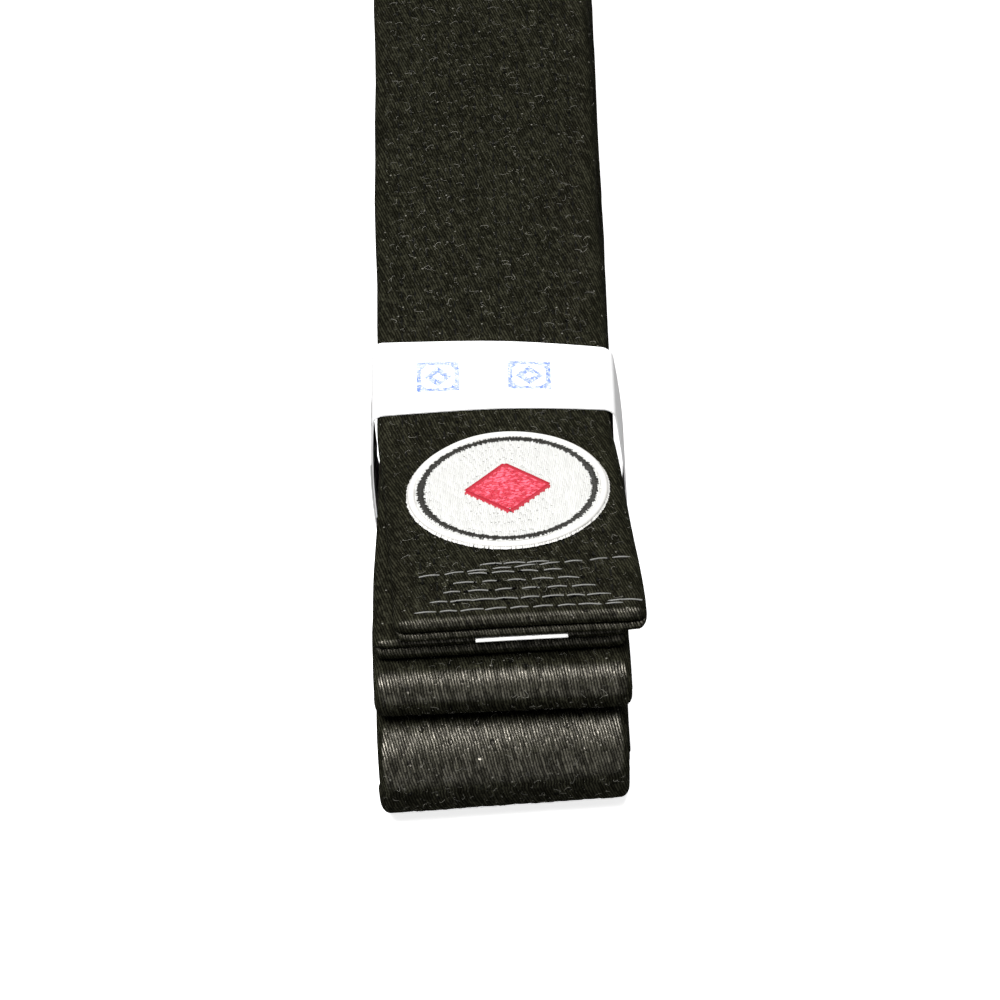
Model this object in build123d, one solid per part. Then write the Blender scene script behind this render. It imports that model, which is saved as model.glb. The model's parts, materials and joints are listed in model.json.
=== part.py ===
"""Martial arts belt, folded in eight layers and held by a glued paper band.

A flat cotton strap is folded in half three times. Its two ends lie on top at the front, with the
fold of its middle under them and a double fold below, and four folds nest inside each other at the
back. The upper end carries a round patch and lifts about a line just in front of the band. The band
slides back along the slim stretch between the folds.

X runs across the strap, +Y runs to the back and +Z is up. Sizes are in millimetres.
"""
import os
from math import atan2, degrees, hypot, radians, tan

from build123d import *

# The strap
belt_width = 40.0
belt_thickness = 4.0
edge_radius = 1.4
cover_wall = 0.45
cover_hem = 1.0
tip_wall = 2.0
tip_rounding = 1.2
ply_count = 5
ply_gap = 0.05

# The folded bundle
bundle_length = 330.0
layer_count = 8
squeezed_gap = 0.1
fold_gap = 0.87
upper_end_gap = 0.3
belly_rise = 0.6
slope_radius = 60.0
bottom_slope_length = 27.0
slope_end_setback = 15.0
back_slope_start_setback = 63.0
back_fold_run = 6.8
bottom_back_fold_run = 16.8
middle_fold_setback = 3.3
lower_tip_setback = 9.6
shortest_run = 0.001

# The upper end, which lifts
hinge_setback = 62.4
hinge_offset = 0.3
upper_tip_setback = 8.6
upper_end_skew = 3.4
hinge_clearance = 0.3

# Stitching
row_count = 7
row_pitch = 2.3
cross_row_pitch = 2.4
outer_row_inset = 4.65
first_cross_row = 2.5
thread_width = 0.3
thread_height = 0.12
lower_row_end_gap = 7.8

# The patch
patch_radius = 16.8
patch_setback = 19.05
patch_offset = 0.58
border_width = 1.4
border_height = 1.2
border_rounding = 0.45
backing_thickness = 0.5
field_height = 0.25
ring_inset = 0.4
ring_width = 1.0
raised_height = 0.45
motif_reach = 7.5
motif_rounding = 0.8
thread_clearance = 0.2
embroidery_gap = 0.05

# The woven size label under the upper end
label_width = 15.0
label_length = 12.0
label_thickness = 0.5
label_slit = 0.06
label_overhang = 0.3
label_fold = 0.6
label_seam_inset = 2.0
label_seam_width = 13.0
label_seam_thickness = 0.1

# The paper band
paper = 0.25
band_width = 16.5
band_setback = 67.5
band_skew = -4.0
band_side_gap = 0.3
band_top_gap = 0.4
band_bottom_gap = 0.3
band_corner = 1.2
lap_low = 9.6
lap_high = 22.0
lap_slit = 0.4
glue_thickness = 0.1
glue_margin = 1.0

front = -bundle_length / 2
back = bundle_length / 2
hinge_y = front + hinge_setback
row_places = [belt_width / 2 - outer_row_inset - row_pitch * row for row in range(row_count)]


def end_level(layer):
    """Height of a layer's middle at the folds; layer 1 is the top one."""
    level = belt_thickness / 2 + (layer_count - layer) * (belt_thickness + fold_gap)
    return level + (upper_end_gap if layer == 1 else 0)


def slim_level(layer):
    """Height of a layer's middle in the slim stretch that the band holds."""
    level = belly_rise + belt_thickness / 2
    level += (layer_count - layer) * (belt_thickness + squeezed_gap)
    return level + (upper_end_gap if layer == 1 else 0)


def front_slope(layer):
    """The two corners where a layer climbs from the slim stretch to the front folds."""
    setback = slope_end_setback
    if layer == layer_count:
        setback = hinge_setback - bottom_slope_length
    return [
        (hinge_y, slim_level(layer), slope_radius),
        (front + setback, end_level(layer), slope_radius),
    ]


def back_fold_start():
    """The middle line that all back folds share, set by the outermost one."""
    return back - (end_level(1) - end_level(layer_count)) / 2 - belt_thickness / 2


def back_slope(layer):
    """The two corners where a layer climbs from the slim stretch to the back folds."""
    run = bottom_back_fold_run if layer == layer_count else back_fold_run
    return [
        (back - back_slope_start_setback, slim_level(layer), slope_radius),
        (back_fold_start() - run, end_level(layer), slope_radius),
    ]


def back_fold(layer, other):
    """The U-turn that joins two layers at the back."""
    radius = abs(end_level(layer) - end_level(other)) / 2
    turn_y = back_fold_start() + radius
    return [(turn_y, end_level(layer), radius), (turn_y, end_level(other), radius)]


def front_fold(layer, other, nose):
    """The U-turn that joins two layers at the front, its outside at the place called nose."""
    radius = abs(end_level(layer) - end_level(other)) / 2
    turn_y = nose + belt_thickness / 2
    return [(turn_y, end_level(layer), radius), (turn_y, end_level(other), radius)]


def strap_corners(start_y, lower_tip_y):
    """Corners of the whole strap, from where the upper end joins it to the lower tip."""
    layer_step = belt_thickness + fold_gap
    corners = [(start_y, slim_level(1), 0)]
    corners += back_slope(1)
    corners += back_fold(1, 8)
    corners += back_slope(8)[::-1] + front_slope(8)
    corners += front_fold(8, 5, front)
    corners += front_slope(5)[::-1] + back_slope(5)
    corners += back_fold(5, 4)
    corners += back_slope(4)[::-1] + front_slope(4)
    corners += front_fold(4, 3, front + middle_fold_setback)
    corners += front_slope(3)[::-1] + back_slope(3)
    corners += back_fold(3, 6)
    corners += back_slope(6)[::-1] + front_slope(6)
    corners += front_fold(6, 7, front + layer_step)
    corners += front_slope(7)[::-1] + back_slope(7)
    corners += back_fold(7, 2)
    corners += back_slope(2)[::-1]
    corners += [(hinge_y, slim_level(2), slope_radius), (lower_tip_y, end_level(2), 0)]
    return corners


def rounded_path(corners):
    """Straight runs joined by tangent arcs, through corners given as (y, z, radius)."""
    points = [Vector(0, y, z) for y, z, radius in corners]
    edges = []
    start = points[0]
    for index in range(1, len(points) - 1):
        arriving = (points[index] - points[index - 1]).normalized()
        leaving = (points[index + 1] - points[index]).normalized()
        reach = corners[index][2] * tan(radians(arriving.get_angle(leaving)) / 2)
        arc_start = points[index] - arriving * reach
        arc_end = points[index] + leaving * reach
        if (arc_start - start).length > shortest_run:
            edges.append(Edge.make_line(start, arc_start))
        edges.append(Edge.make_tangent_arc(arc_start, arriving, arc_end))
        start = arc_end
    edges.append(Edge.make_line(start, points[-1]))
    return Wire(edges)


def swept(section, path):
    """Carry a flat section, drawn across the strap, along a path."""
    start_plane = Plane(origin=path @ 0, x_dir=(1, 0, 0), z_dir=path % 0)
    return sweep(start_plane * section, path=path)


def root_start():
    """Where the strap's body begins behind the knuckle of the upper end."""
    swing = belt_width / 2 * tan(radians(upper_end_skew))
    return hinge_y + belt_thickness / 2 + hinge_clearance + swing


def lower_tip():
    return front + lower_tip_setback


def cavity_height():
    return belt_thickness - 2 * cover_wall


def cavity_width():
    return belt_width - 2 * cover_hem


def ply_thickness():
    return (cavity_height() - (ply_count + 1) * ply_gap) / ply_count


def ply_level(ply):
    """Height of a core ply's middle above the strap's middle; ply 0 is the lowest."""
    first = -cavity_height() / 2 + ply_gap + ply_thickness() / 2
    return first + ply * (ply_thickness() + ply_gap)


def outer_cover():
    """The satin cover of everything but the upper end, a closed sleeve round the core."""
    outside = swept(
        RectangleRounded(belt_width, belt_thickness, edge_radius),
        rounded_path(strap_corners(root_start(), lower_tip())),
    )
    inside = swept(
        Rectangle(cavity_width(), cavity_height()),
        rounded_path(strap_corners(root_start() - 1, lower_tip() + tip_wall)),
    )
    return outside - inside


def core_ply(ply):
    """One cotton ply of the core, following every fold inside the cover."""
    section = Pos(0, -ply_level(ply)) * Rectangle(cavity_width() - 2 * ply_gap, ply_thickness())
    return swept(section, rounded_path(strap_corners(root_start(), lower_tip() + tip_wall + ply_gap)))


def row_stitching():
    """The lengthwise rows of thread on the top layer, behind the band as well as under it."""
    lift = belt_thickness / 2 + thread_height / 2
    corners = [(root_start(), slim_level(1), 0)] + back_slope(1)
    path = rounded_path(corners + [(back_fold_start(), end_level(1), 0)])
    thread = swept(Pos(0, -lift) * Rectangle(thread_width, thread_height), path)
    return Compound([Pos(side * place, 0, 0) * thread for place in row_places for side in (-1, 1)])


def nested_rows(tip_y, leg_end_y, level):
    """Nested U-shaped rows of thread round a tip that points to -Y."""
    rows = []
    for row, place in enumerate(row_places):
        cross_y = tip_y + first_cross_row + row * cross_row_pitch
        leg = leg_end_y - cross_y + thread_width / 2
        leg_y = (leg_end_y + cross_y - thread_width / 2) / 2
        shape = Pos(0, cross_y) * Rectangle(2 * place + thread_width, thread_width)
        shape += Pos(place, leg_y) * Rectangle(thread_width, leg)
        shape += Pos(-place, leg_y) * Rectangle(thread_width, leg)
        rows.append(extrude(Pos(0, 0, level) * shape, thread_height))
    return rows


def lower_end_stitching():
    """The nested rows that close the lower tip, on its sloping top face, short of the bend."""
    run = hinge_y - lower_tip()
    slope = degrees(atan2(end_level(2) - slim_level(2), run))
    rows = nested_rows(0, run - lower_row_end_gap, belt_thickness / 2)
    place = Pos(0, lower_tip(), end_level(2)) * Rot(X=-slope)
    return place * Compound(rows)


def upper_end_place():
    """Moves what is drawn along -Y from the hinge line onto the sloping, skewed upper end."""
    rise = end_level(1) - slim_level(1)
    slope = degrees(atan2(rise, hinge_setback - upper_tip_setback))
    return Pos(hinge_offset, hinge_y, slim_level(1)) * Rot(Z=upper_end_skew) * Rot(X=-slope)


def upper_end_length():
    return hypot(end_level(1) - slim_level(1), hinge_setback - upper_tip_setback)


def upper_end_cover():
    """The cover of the upper end: a sleeve with a closed tip and a rounded knuckle."""
    section = RectangleRounded(belt_width, belt_thickness, edge_radius)
    body = extrude(Plane.XZ * section, upper_end_length())
    body = fillet(body.faces().sort_by(Axis.Y)[0].edges(), tip_rounding)
    upper_half = Pos(0, belt_thickness / 2) * Rectangle(belt_width, belt_thickness)
    body += revolve(Plane.XZ * (section & upper_half), Axis.X, -180)
    length = upper_end_length() - belt_thickness / 2 - tip_wall
    middle = -belt_thickness / 2 - length / 2
    return body - Pos(0, middle, 0) * Box(cavity_width(), length, cavity_height())


def upper_end_ply(ply):
    """One cotton ply inside the upper end."""
    length = upper_end_length() - belt_thickness / 2 - tip_wall - 2 * ply_gap
    middle = -belt_thickness / 2 - ply_gap - length / 2
    return Pos(0, middle, ply_level(ply)) * Box(cavity_width() - 2 * ply_gap, length, ply_thickness())


def patch_centre(level):
    return Pos(patch_offset, -patch_setback, belt_thickness / 2 + level)


def upper_end_stitching():
    """The nested rows of the upper end, left out under the patch."""
    rows = nested_rows(-upper_end_length(), -belt_thickness / 2, belt_thickness / 2)
    patch_room = patch_centre(0) * Cylinder(patch_radius + thread_clearance, belt_thickness)
    return Compound([piece for row in rows for piece in (row - patch_room).solids()])


def disc(radius, low, high):
    shape = Cylinder(radius, high - low, align=(Align.CENTER, Align.CENTER, Align.MIN))
    return patch_centre(low) * shape


def ground_radius():
    return patch_radius - border_width - embroidery_gap


def ring_radii():
    """Inside and outside of the satin-stitch ring, which keeps its distance from the border."""
    outside = patch_radius - border_width - ring_inset
    return outside - ring_width, outside


def patch_backing():
    """The patch's ground fabric."""
    return disc(ground_radius(), 0, backing_thickness)


def patch_border():
    """The raised merrowed edge of the patch."""
    ring = disc(patch_radius, 0, border_height) - disc(patch_radius - border_width, 0, border_height)
    return fillet(ring.faces().sort_by(Axis.Z)[-1].edges(), border_rounding)


def motif_outline(reach):
    side = reach * 2 ** 0.5
    return Rot(Z=45) * RectangleRounded(side, side, motif_rounding)


def patch_ring():
    """The raised satin-stitch ring inside the border."""
    inside, outside = ring_radii()
    top = backing_thickness + raised_height
    return disc(outside, backing_thickness, top) - disc(inside, backing_thickness, top)


def patch_motif():
    """The raised diamond in the middle of the patch."""
    return extrude(patch_centre(backing_thickness) * motif_outline(motif_reach), raised_height)


def patch_field():
    """The filled embroidery between the border, the ring and the diamond."""
    inside, outside = ring_radii()
    top = backing_thickness + field_height
    field = disc(ground_radius(), backing_thickness, top)
    ring_room = disc(outside + embroidery_gap, backing_thickness, top)
    ring_room -= disc(inside - embroidery_gap, backing_thickness, top)
    motif_room = patch_centre(backing_thickness) * motif_outline(motif_reach + embroidery_gap)
    return field - ring_room - extrude(motif_room, field_height)


def size_label():
    """The blank woven label, folded in two and sewn under the upper end with its fold at the tip."""
    front_y = -upper_end_length() - label_overhang
    low = -belt_thickness / 2 - label_thickness
    place = Pos(0, front_y + label_length / 2, low + label_thickness / 2)
    label = place * Box(label_width, label_length, label_thickness)
    slit = Box(label_width, label_length, label_slit)
    return label - place * Pos(0, label_fold, 0) * slit


def label_seam():
    """The line of thread that holds the label."""
    seam_y = -upper_end_length() - label_overhang + label_length - label_seam_inset
    level = -belt_thickness / 2 - label_thickness - label_seam_thickness / 2
    return Pos(0, seam_y, level) * Box(label_seam_width, thread_width, label_seam_thickness)


def band_sizes():
    """Half width, bottom and top of the room inside the paper band."""
    half = belt_width / 2 + band_side_gap
    bottom = slim_level(layer_count) - belt_thickness / 2 - band_bottom_gap
    top = slim_level(1) + belt_thickness / 2 + band_top_gap
    return half, bottom, top


def band_length_of(outline):
    """Draw an outline across the strap out along Y, then trim it to the skewed band."""
    middle_y = front + band_setback + band_width / 2
    reach = band_width * 2
    solid = extrude(Plane.XZ * outline, reach, both=True)
    slab_size = belt_width * 2
    slab = Rot(Z=band_skew) * Box(slab_size, band_width, slab_size)
    return Pos(0, middle_y, 0) * (solid & Pos(0, 0, slab_size / 2 - belt_width / 4) * slab)


def paper_band():
    """One strip of paper round the stack, its outer end lapped over its inner end on the left."""
    half, bottom, top = band_sizes()
    middle = Pos(0, (bottom + top) / 2)
    outside = RectangleRounded(2 * (half + paper), top - bottom + 2 * paper, band_corner + paper)
    strip = middle * outside - middle * RectangleRounded(2 * half, top - bottom, band_corner)
    wall_x = -half - paper / 2
    strip -= Pos(wall_x, lap_low + lap_slit / 2) * Rectangle(2 * paper, lap_slit)
    step = paper + glue_thickness
    lap_height = lap_high - lap_low + step + paper
    lap_x = wall_x - step
    strip += Pos(lap_x, lap_high - lap_height / 2) * Rectangle(paper, lap_height)
    strip += Pos(wall_x - step / 2, lap_low - paper / 2 - step / 2) * Rectangle(step + paper, paper)
    return band_length_of(strip)


def band_glue():
    """The film of glue between the two ends of the paper strip."""
    half, bottom, top = band_sizes()
    low = lap_low + lap_slit + glue_margin
    height = lap_high - glue_margin - low
    outline = Pos(-half - paper - glue_thickness / 2, low + height / 2)
    return band_length_of(outline * Rectangle(glue_thickness, height))


def make_parts():
    """Every sub-part by name, with the origin under the middle of the whole bundle."""
    parts = {"outer_cover": outer_cover()}
    for ply in range(ply_count):
        parts[f"core_ply_{ply + 1}"] = core_ply(ply)
    parts["row_stitching"] = row_stitching()
    parts["lower_end_stitching"] = lower_end_stitching()
    upper = {"upper_end_cover": upper_end_cover()}
    for ply in range(ply_count):
        upper[f"upper_end_ply_{ply + 1}"] = upper_end_ply(ply)
    upper["upper_end_stitching"] = upper_end_stitching()
    upper["patch_backing"] = patch_backing()
    upper["patch_border"] = patch_border()
    upper["patch_field"] = patch_field()
    upper["patch_ring"] = patch_ring()
    upper["patch_motif"] = patch_motif()
    upper["size_label"] = size_label()
    upper["label_seam"] = label_seam()
    for name, shape in upper.items():
        parts[name] = upper_end_place() * shape
    parts["paper_band"] = paper_band()
    parts["band_glue"] = band_glue()
    boxes = [shape.bounding_box() for shape in parts.values()]
    middle_x = (min(box.min.X for box in boxes) + max(box.max.X for box in boxes)) / 2
    return {name: Pos(-middle_x, 0, 0) * shape for name, shape in parts.items()}


os.makedirs("parts", exist_ok=True)
for node, solid in make_parts().items():
    export_step(solid, f"parts/{node}.step")
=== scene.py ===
"""Looks of a folded martial arts belt held by a paper band, built round its packed frame.

Every length is in metres, in the frame's own axes: X across the strap, +Y to the back, +Z up. The strap
is a ribbon of rings along its folded path; its A side faces out round the front folds.
"""

import json
import math

import bmesh
import bpy
import numpy as np
from mathutils import Matrix, Vector

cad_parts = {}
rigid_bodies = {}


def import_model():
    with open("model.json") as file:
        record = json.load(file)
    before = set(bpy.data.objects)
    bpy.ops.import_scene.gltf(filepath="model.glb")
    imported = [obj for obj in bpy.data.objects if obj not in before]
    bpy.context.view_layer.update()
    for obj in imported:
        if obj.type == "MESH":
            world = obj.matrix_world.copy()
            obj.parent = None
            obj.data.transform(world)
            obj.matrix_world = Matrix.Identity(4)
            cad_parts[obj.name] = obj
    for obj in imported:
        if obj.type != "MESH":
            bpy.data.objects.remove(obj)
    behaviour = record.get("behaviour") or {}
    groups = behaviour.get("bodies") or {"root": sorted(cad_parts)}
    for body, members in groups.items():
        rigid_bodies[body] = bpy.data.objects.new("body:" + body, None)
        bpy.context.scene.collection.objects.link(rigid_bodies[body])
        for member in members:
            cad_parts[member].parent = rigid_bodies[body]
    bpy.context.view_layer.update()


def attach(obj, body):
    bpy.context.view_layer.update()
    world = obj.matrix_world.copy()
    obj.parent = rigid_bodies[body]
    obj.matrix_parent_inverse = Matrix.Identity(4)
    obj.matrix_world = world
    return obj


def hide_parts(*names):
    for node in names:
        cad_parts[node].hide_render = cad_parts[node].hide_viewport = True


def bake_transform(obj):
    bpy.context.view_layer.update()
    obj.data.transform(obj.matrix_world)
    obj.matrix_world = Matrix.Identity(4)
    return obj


bl_info = {
    "name": "Folded martial arts belt",
    "version": (1, 0, 0),
    "blender": (4, 5, 0),
    "location": "View3D > Sidebar > Belt",
    "description": "Builds a folded cotton belt with its patch, label, stitching and paper band",
    "category": "Object",
}

MM = 0.001


def length(name, default, description):
    """A size in metres."""
    return bpy.props.FloatProperty(
        name=name, description=description, default=default, unit="LENGTH", precision=5
    )


def number(name, default, description):
    """A plain number."""
    return bpy.props.FloatProperty(name=name, description=description, default=default)


def count(name, default, description):
    """A whole number."""
    return bpy.props.IntProperty(name=name, description=description, default=default, min=0)


def colour(name, default, description):
    """A linear colour."""
    return bpy.props.FloatVectorProperty(
        name=name, description=description, default=default, subtype="COLOR", size=3, min=0, max=1
    )


class StrapSizes(bpy.types.PropertyGroup):
    """Sizes of the strap and of the way it is folded."""

    centre_x: length("Centre", -0.001245, "Where the strap's middle lies in X")
    front: length("Front", -0.166, "Where the foremost fold lies in Y")
    back: length("Back", 0.165, "Where the back folds end in Y")
    half_width: length("Half width", 0.0198, "Half the strap's width where the band holds it")
    thickness: length("Thickness", 0.004, "The strap's thickness where the band holds it")
    fold_thickness: length("Fold thickness", 0.0044, "The strap's thickness near the folds")
    slim_gap: length("Slim gap", 0.00001, "Gap between layers under the band")
    fold_gap: length("Fold gap", 0.000413, "Gap between layers at the folds")
    top_gap: length("Top gap", 0.0003, "Extra gap under the top layer near its tip")
    belly_rise: length("Belly rise", 0.0006, "How far the slim stretch is off the floor")
    crown: length("Crown", 0.0007, "How far the top layer's middle rises above its edges")
    edge_rounding: length("Edge rounding", 0.0019, "How far in the long edges begin to round")
    hinge_y: length("Hinge", -0.1026, "Where the upper end begins to lift in Y")
    seam_y: length("Seam", -0.092, "Where the upper end's piece meets the rest under the band")
    upper_tip_y: length("Upper tip", -0.157, "Where the upper end stops in Y")
    lower_tip_y: length("Lower tip", -0.1554, "Where the lower end stops in Y")
    middle_nose_y: length("Middle fold", -0.161, "Where the fold of the strap's middle lies in Y")
    hinge_offset: length("Hinge offset", 0.0003, "Sideways offset of the upper end at the hinge")
    skew: number("Skew", 0.061, "Sideways drift of the upper end per length")
    fold_skew: number("Fold skew", 0.019, "How much the lowest front fold runs aslant")
    middle_skew: number("Middle skew", -0.02, "How much the fold of the strap's middle runs aslant")
    tip_skew: number("Tip skew", -0.065, "How much the upper tip is sheared across its width")
    row_count: count("Rows", 7, "Quilting rows on each side of the middle")
    first_row: length("First row", 0.00155, "Distance of the innermost quilting row from the middle")
    row_pitch: length("Row pitch", 0.0023, "Distance between quilting rows")
    first_cross_row: length("First cross row", 0.0025, "Distance of the outermost cross row from a tip")
    cross_row_pitch: length("Cross row pitch", 0.0024, "Distance between cross rows")
    groove_depth: length("Groove depth", 0.00008, "How deep the quilting rows sink")
    lumpiness: length("Lumpiness", 0.00005, "Height of the soft unevenness of the quilted cloth")
    groove_width: length("Groove width", 0.0004, "How wide the quilting rows sink")
    corner: length("Corner", 0.0022, "Rounding of the corners of the two tips")


class ThreadSizes(bpy.types.PropertyGroup):
    """Sizes of the sewing threads and of the lint."""

    radius: length("Radius", 0.00016, "Radius of the sewing thread")
    stitch: length("Stitch", 0.0033, "Length of one stitch on the top side")
    sunk_stitch: length("Sunk stitch", 0.0013, "Length of what shows of a lengthwise stitch")
    spacing: length("Spacing", 0.0037, "Distance from one stitch to the next")
    lint_length: length("Lint length", 0.0009, "Length of a common lint fibre")
    lint_radius: length("Lint radius", 0.000018, "Radius of a lint fibre")
    lint_density: number("Lint density", 520000.0, "Lint fibres on one square metre of open cloth")


class PatchSizes(bpy.types.PropertyGroup):
    """Sizes of the round patch and of the size label."""

    radius: length("Radius", 0.0168, "Outside radius of the patch")
    setback: length("Setback", 0.0349, "Distance of the patch's middle from the tip")
    offset: length("Offset", 0.00058, "Sideways offset of the patch's middle")
    ground: length("Ground", 0.0005, "Thickness of the ground cloth")
    border_width: length("Border width", 0.0014, "Width of the merrowed border")
    border_height: length("Border height", 0.0012, "Height of the merrowed border")
    ring_inset: length("Ring inset", 0.0004, "Clear field between the border and the dark ring")
    ring_width: length("Ring width", 0.001, "Width of the dark satin ring")
    motif_reach: length("Motif reach", 0.0075, "Half the diagonal of the diamond")
    motif_rim: length("Motif rim", 0.0009, "Width of the satin rim of the diamond")
    stitch_pitch: length("Stitch pitch", 0.00031, "Distance between the field's stitch lines")
    label_width: length("Label width", 0.015, "Width of the size label")
    label_length: length("Label length", 0.012, "Length of the folded size label")
    label_leaf: length("Label leaf", 0.0002, "Thickness of one leaf of the size label")


class BandSizes(bpy.types.PropertyGroup):
    """Sizes of the paper band."""

    paper: length("Paper", 0.00025, "Thickness of the paper")
    width: length("Width", 0.0178, "Width of the band along the strap")
    middle_y: length("Middle", -0.08997, "Where the band's middle lies in Y")
    skew: number("Skew", -0.0825, "How much the band runs aslant across the strap")
    taper: number("Taper", 0.0375, "How much more the rear edge runs aslant than the front edge")
    clearance: length("Clearance", 0.00006, "Gap between the band and the strap's top")
    top_half: length("Top half width", 0.0202, "Half the inner width near the top")
    bulge: length("Bulge", 0.001, "How far the sides stand out at mid height")
    corner: length("Corner", 0.0021, "Inner rounding of the upper corners")
    bottom_corner: length("Bottom corner", 0.0014, "Inner rounding of the lower corners")
    bottom: length("Bottom", 0.00032, "Height of the inner face of the bottom")
    glue: length("Glue", 0.0001, "Thickness of the glue film")
    lap_low: length("Lap low", 0.0096, "Height where the lap begins")
    lap_high: length("Lap high", 0.022, "Height where the lap ends")


class Colours(bpy.types.PropertyGroup):
    """Linear colours of the materials."""

    # Painted shade: the colour of the valleys between the satin's floats, where shade falls.
    cloth_valley_shade: colour("Cloth shade", (0.001, 0.0009, 0.0006), "Between the floats of the satin")
    cloth_light: colour("Cloth light", (0.0305, 0.0303, 0.0185), "On the floats of the satin")
    lint: colour("Lint", (0.32, 0.31, 0.27), "Lint fibres and specks")
    haze: colour("Haze", (0.3, 0.3, 0.2), "Fine dust on the cloth")
    row_thread: colour("Row thread", (0.032, 0.034, 0.033), "Sewing thread of the cross rows")
    # Partly painted shade: the lengthwise rows' thread, coloured darker than the cloth so that it stands for
    # the shade in the dimples the stitches sink into.
    thread_with_painted_shade: colour("Dark thread", (0.006, 0.006, 0.005), "Sewing thread of the lengthwise rows")
    white_thread: colour("White thread", (0.79, 0.78, 0.75), "White embroidery thread of the patch's border")
    field_thread: colour("Field thread", (0.66, 0.66, 0.64), "White embroidery thread of the patch's field")
    black_thread: colour("Black thread", (0.011, 0.01, 0.0065), "Black embroidery thread")
    red_thread: colour("Red thread", (0.54, 0.018, 0.042), "Red embroidery thread")
    red_rim: colour("Red rim", (0.4, 0.006, 0.022), "Satin rim of the diamond")
    red_pale: colour("Pale red", (0.85, 0.16, 0.24), "Paler threads among the red")
    label: colour("Label", (0.88, 0.88, 0.86), "Woven label")
    paper: colour("Paper", (0.93, 0.93, 0.93), "Paper band")
    ink: colour("Ink", (0.12, 0.2, 0.72), "Stamped ornaments on the paper band")


class StageSettings(bpy.types.PropertyGroup):
    """Camera, light and floor."""

    focal: number("Focal length", 211.18, "Camera focal length in millimetres for a 36 mm sensor")
    key_power: number("Key power", 35.0, "Power of the large soft light in watts")
    world_strength: number("World strength", 0.14, "Strength of the even light from all round")
    floor_glow: number("Floor glow", 0.8, "Light that the floor gives off by itself")


GROUPS = {
    "strap": StrapSizes,
    "thread": ThreadSizes,
    "patch": PatchSizes,
    "band": BandSizes,
    "hue": Colours,
    "stage": StageSettings,
}


def settings(name):
    """One group of settings of the scene."""
    return getattr(bpy.context.scene, "belt_" + name)


# Node helpers


class Wire:
    """One output of a node, which takes plain arithmetic."""

    def __init__(self, socket):
        self.socket = socket
        self.tree = socket.id_data

    def math(self, operation, *others):
        """A Math node with this wire first."""
        return calc(self.tree, operation, self, *others)

    def __add__(self, other):
        return calc(self.tree, "ADD", self, other)

    def __sub__(self, other):
        return calc(self.tree, "SUBTRACT", self, other)

    def __rsub__(self, other):
        return calc(self.tree, "SUBTRACT", other, self)

    def __mul__(self, other):
        return calc(self.tree, "MULTIPLY", self, other)

    def __truediv__(self, other):
        return calc(self.tree, "DIVIDE", self, other)


def connect(value, socket):
    """Lead a wire to an input, or give the input a constant."""
    if isinstance(value, Wire):
        value.tree.links.new(value.socket, socket)
    else:
        socket.default_value = value


def node(tree, kind, inputs=None, out=0, **values):
    """Add a node; inputs are constants or wires, values its properties, out the outputs wanted."""
    made = tree.nodes.new(kind)
    for key, value in values.items():
        setattr(made, key, value)
    for key, value in (inputs or {}).items():
        connect(value, made.inputs[key])
    if isinstance(out, tuple):
        return [Wire(made.outputs[key]) for key in out]
    return Wire(made.outputs[out])


def calc(tree, operation, *values):
    """One Math node."""
    return node(tree, "ShaderNodeMath", dict(enumerate(values)), operation=operation)


def combined(tree, x=0.0, y=0.0, z=0.0):
    """A vector from its parts."""
    return node(tree, "ShaderNodeCombineXYZ", {0: x, 1: y, 2: z})


def ramp(value, low, high, start=0.0, end=1.0):
    """Smoothly map value from low..high to start..end."""
    inputs = {"Value": value, "From Min": low, "From Max": high, "To Min": start, "To Max": end}
    return node(value.tree, "ShaderNodeMapRange", inputs, interpolation_type="SMOOTHSTEP")


def blend_colour(share, first, second):
    """Mix two colours; first and second are wires or linear colours."""
    inputs = {"Factor": share}
    for slot, value in ((6, first), (7, second)):
        inputs[slot] = value if isinstance(value, Wire) else (*value, 1)
    return node(share.tree, "ShaderNodeMix", inputs, 2, data_type="RGBA")


def noise(vector, scale, detail=2.0, roughness=0.5):
    """One Noise Texture's value."""
    inputs = {"Vector": vector, "Scale": scale, "Detail": detail, "Roughness": roughness}
    return node(vector.tree, "ShaderNodeTexNoise", inputs, "Fac")


def chance_of(value, dimensions):
    """A random number for each different value."""
    name = "W" if dimensions == "1D" else "Vector"
    return node(value.tree, "ShaderNodeTexWhiteNoise", {name: value}, "Value", noise_dimensions=dimensions)


def object_place(tree):
    """Object coordinates."""
    return node(tree, "ShaderNodeTexCoord", out="Object")


def thread_tone(tree):
    """The random tone that each laid thread or fibre holds."""
    return node(tree, "ShaderNodeAttribute", out="Fac", attribute_name="thread_tone")


def bumped(shader, height, distance, strength):
    """Lead a height to a shader's normal."""
    inputs = {"Height": height, "Distance": distance, "Strength": strength}
    connect(node(height.tree, "ShaderNodeBump", inputs), shader.inputs["Normal"])


def socket_kind(default):
    """The kind of socket for a default: a number, or the kind's own name."""
    if isinstance(default, str):
        return "NodeSocket" + default
    return "NodeSocketInt" if isinstance(default, int) else "NodeSocketFloat"


def new_group(name, kind, inputs, outputs):
    """A node group with named sockets: its tree, its inputs as wires and its outputs."""
    tree = bpy.data.node_groups.new(name, kind)
    for label, default in inputs.items():
        made = tree.interface.new_socket(label, in_out="INPUT", socket_type=socket_kind(default))
        if not isinstance(default, str):
            made.default_value = default
    for label, default in outputs.items():
        tree.interface.new_socket(label, in_out="OUTPUT", socket_type=socket_kind(default))
    given = {socket.name: Wire(socket) for socket in tree.nodes.new("NodeGroupInput").outputs if socket.name}
    return tree, given, tree.nodes.new("NodeGroupOutput").inputs


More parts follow.
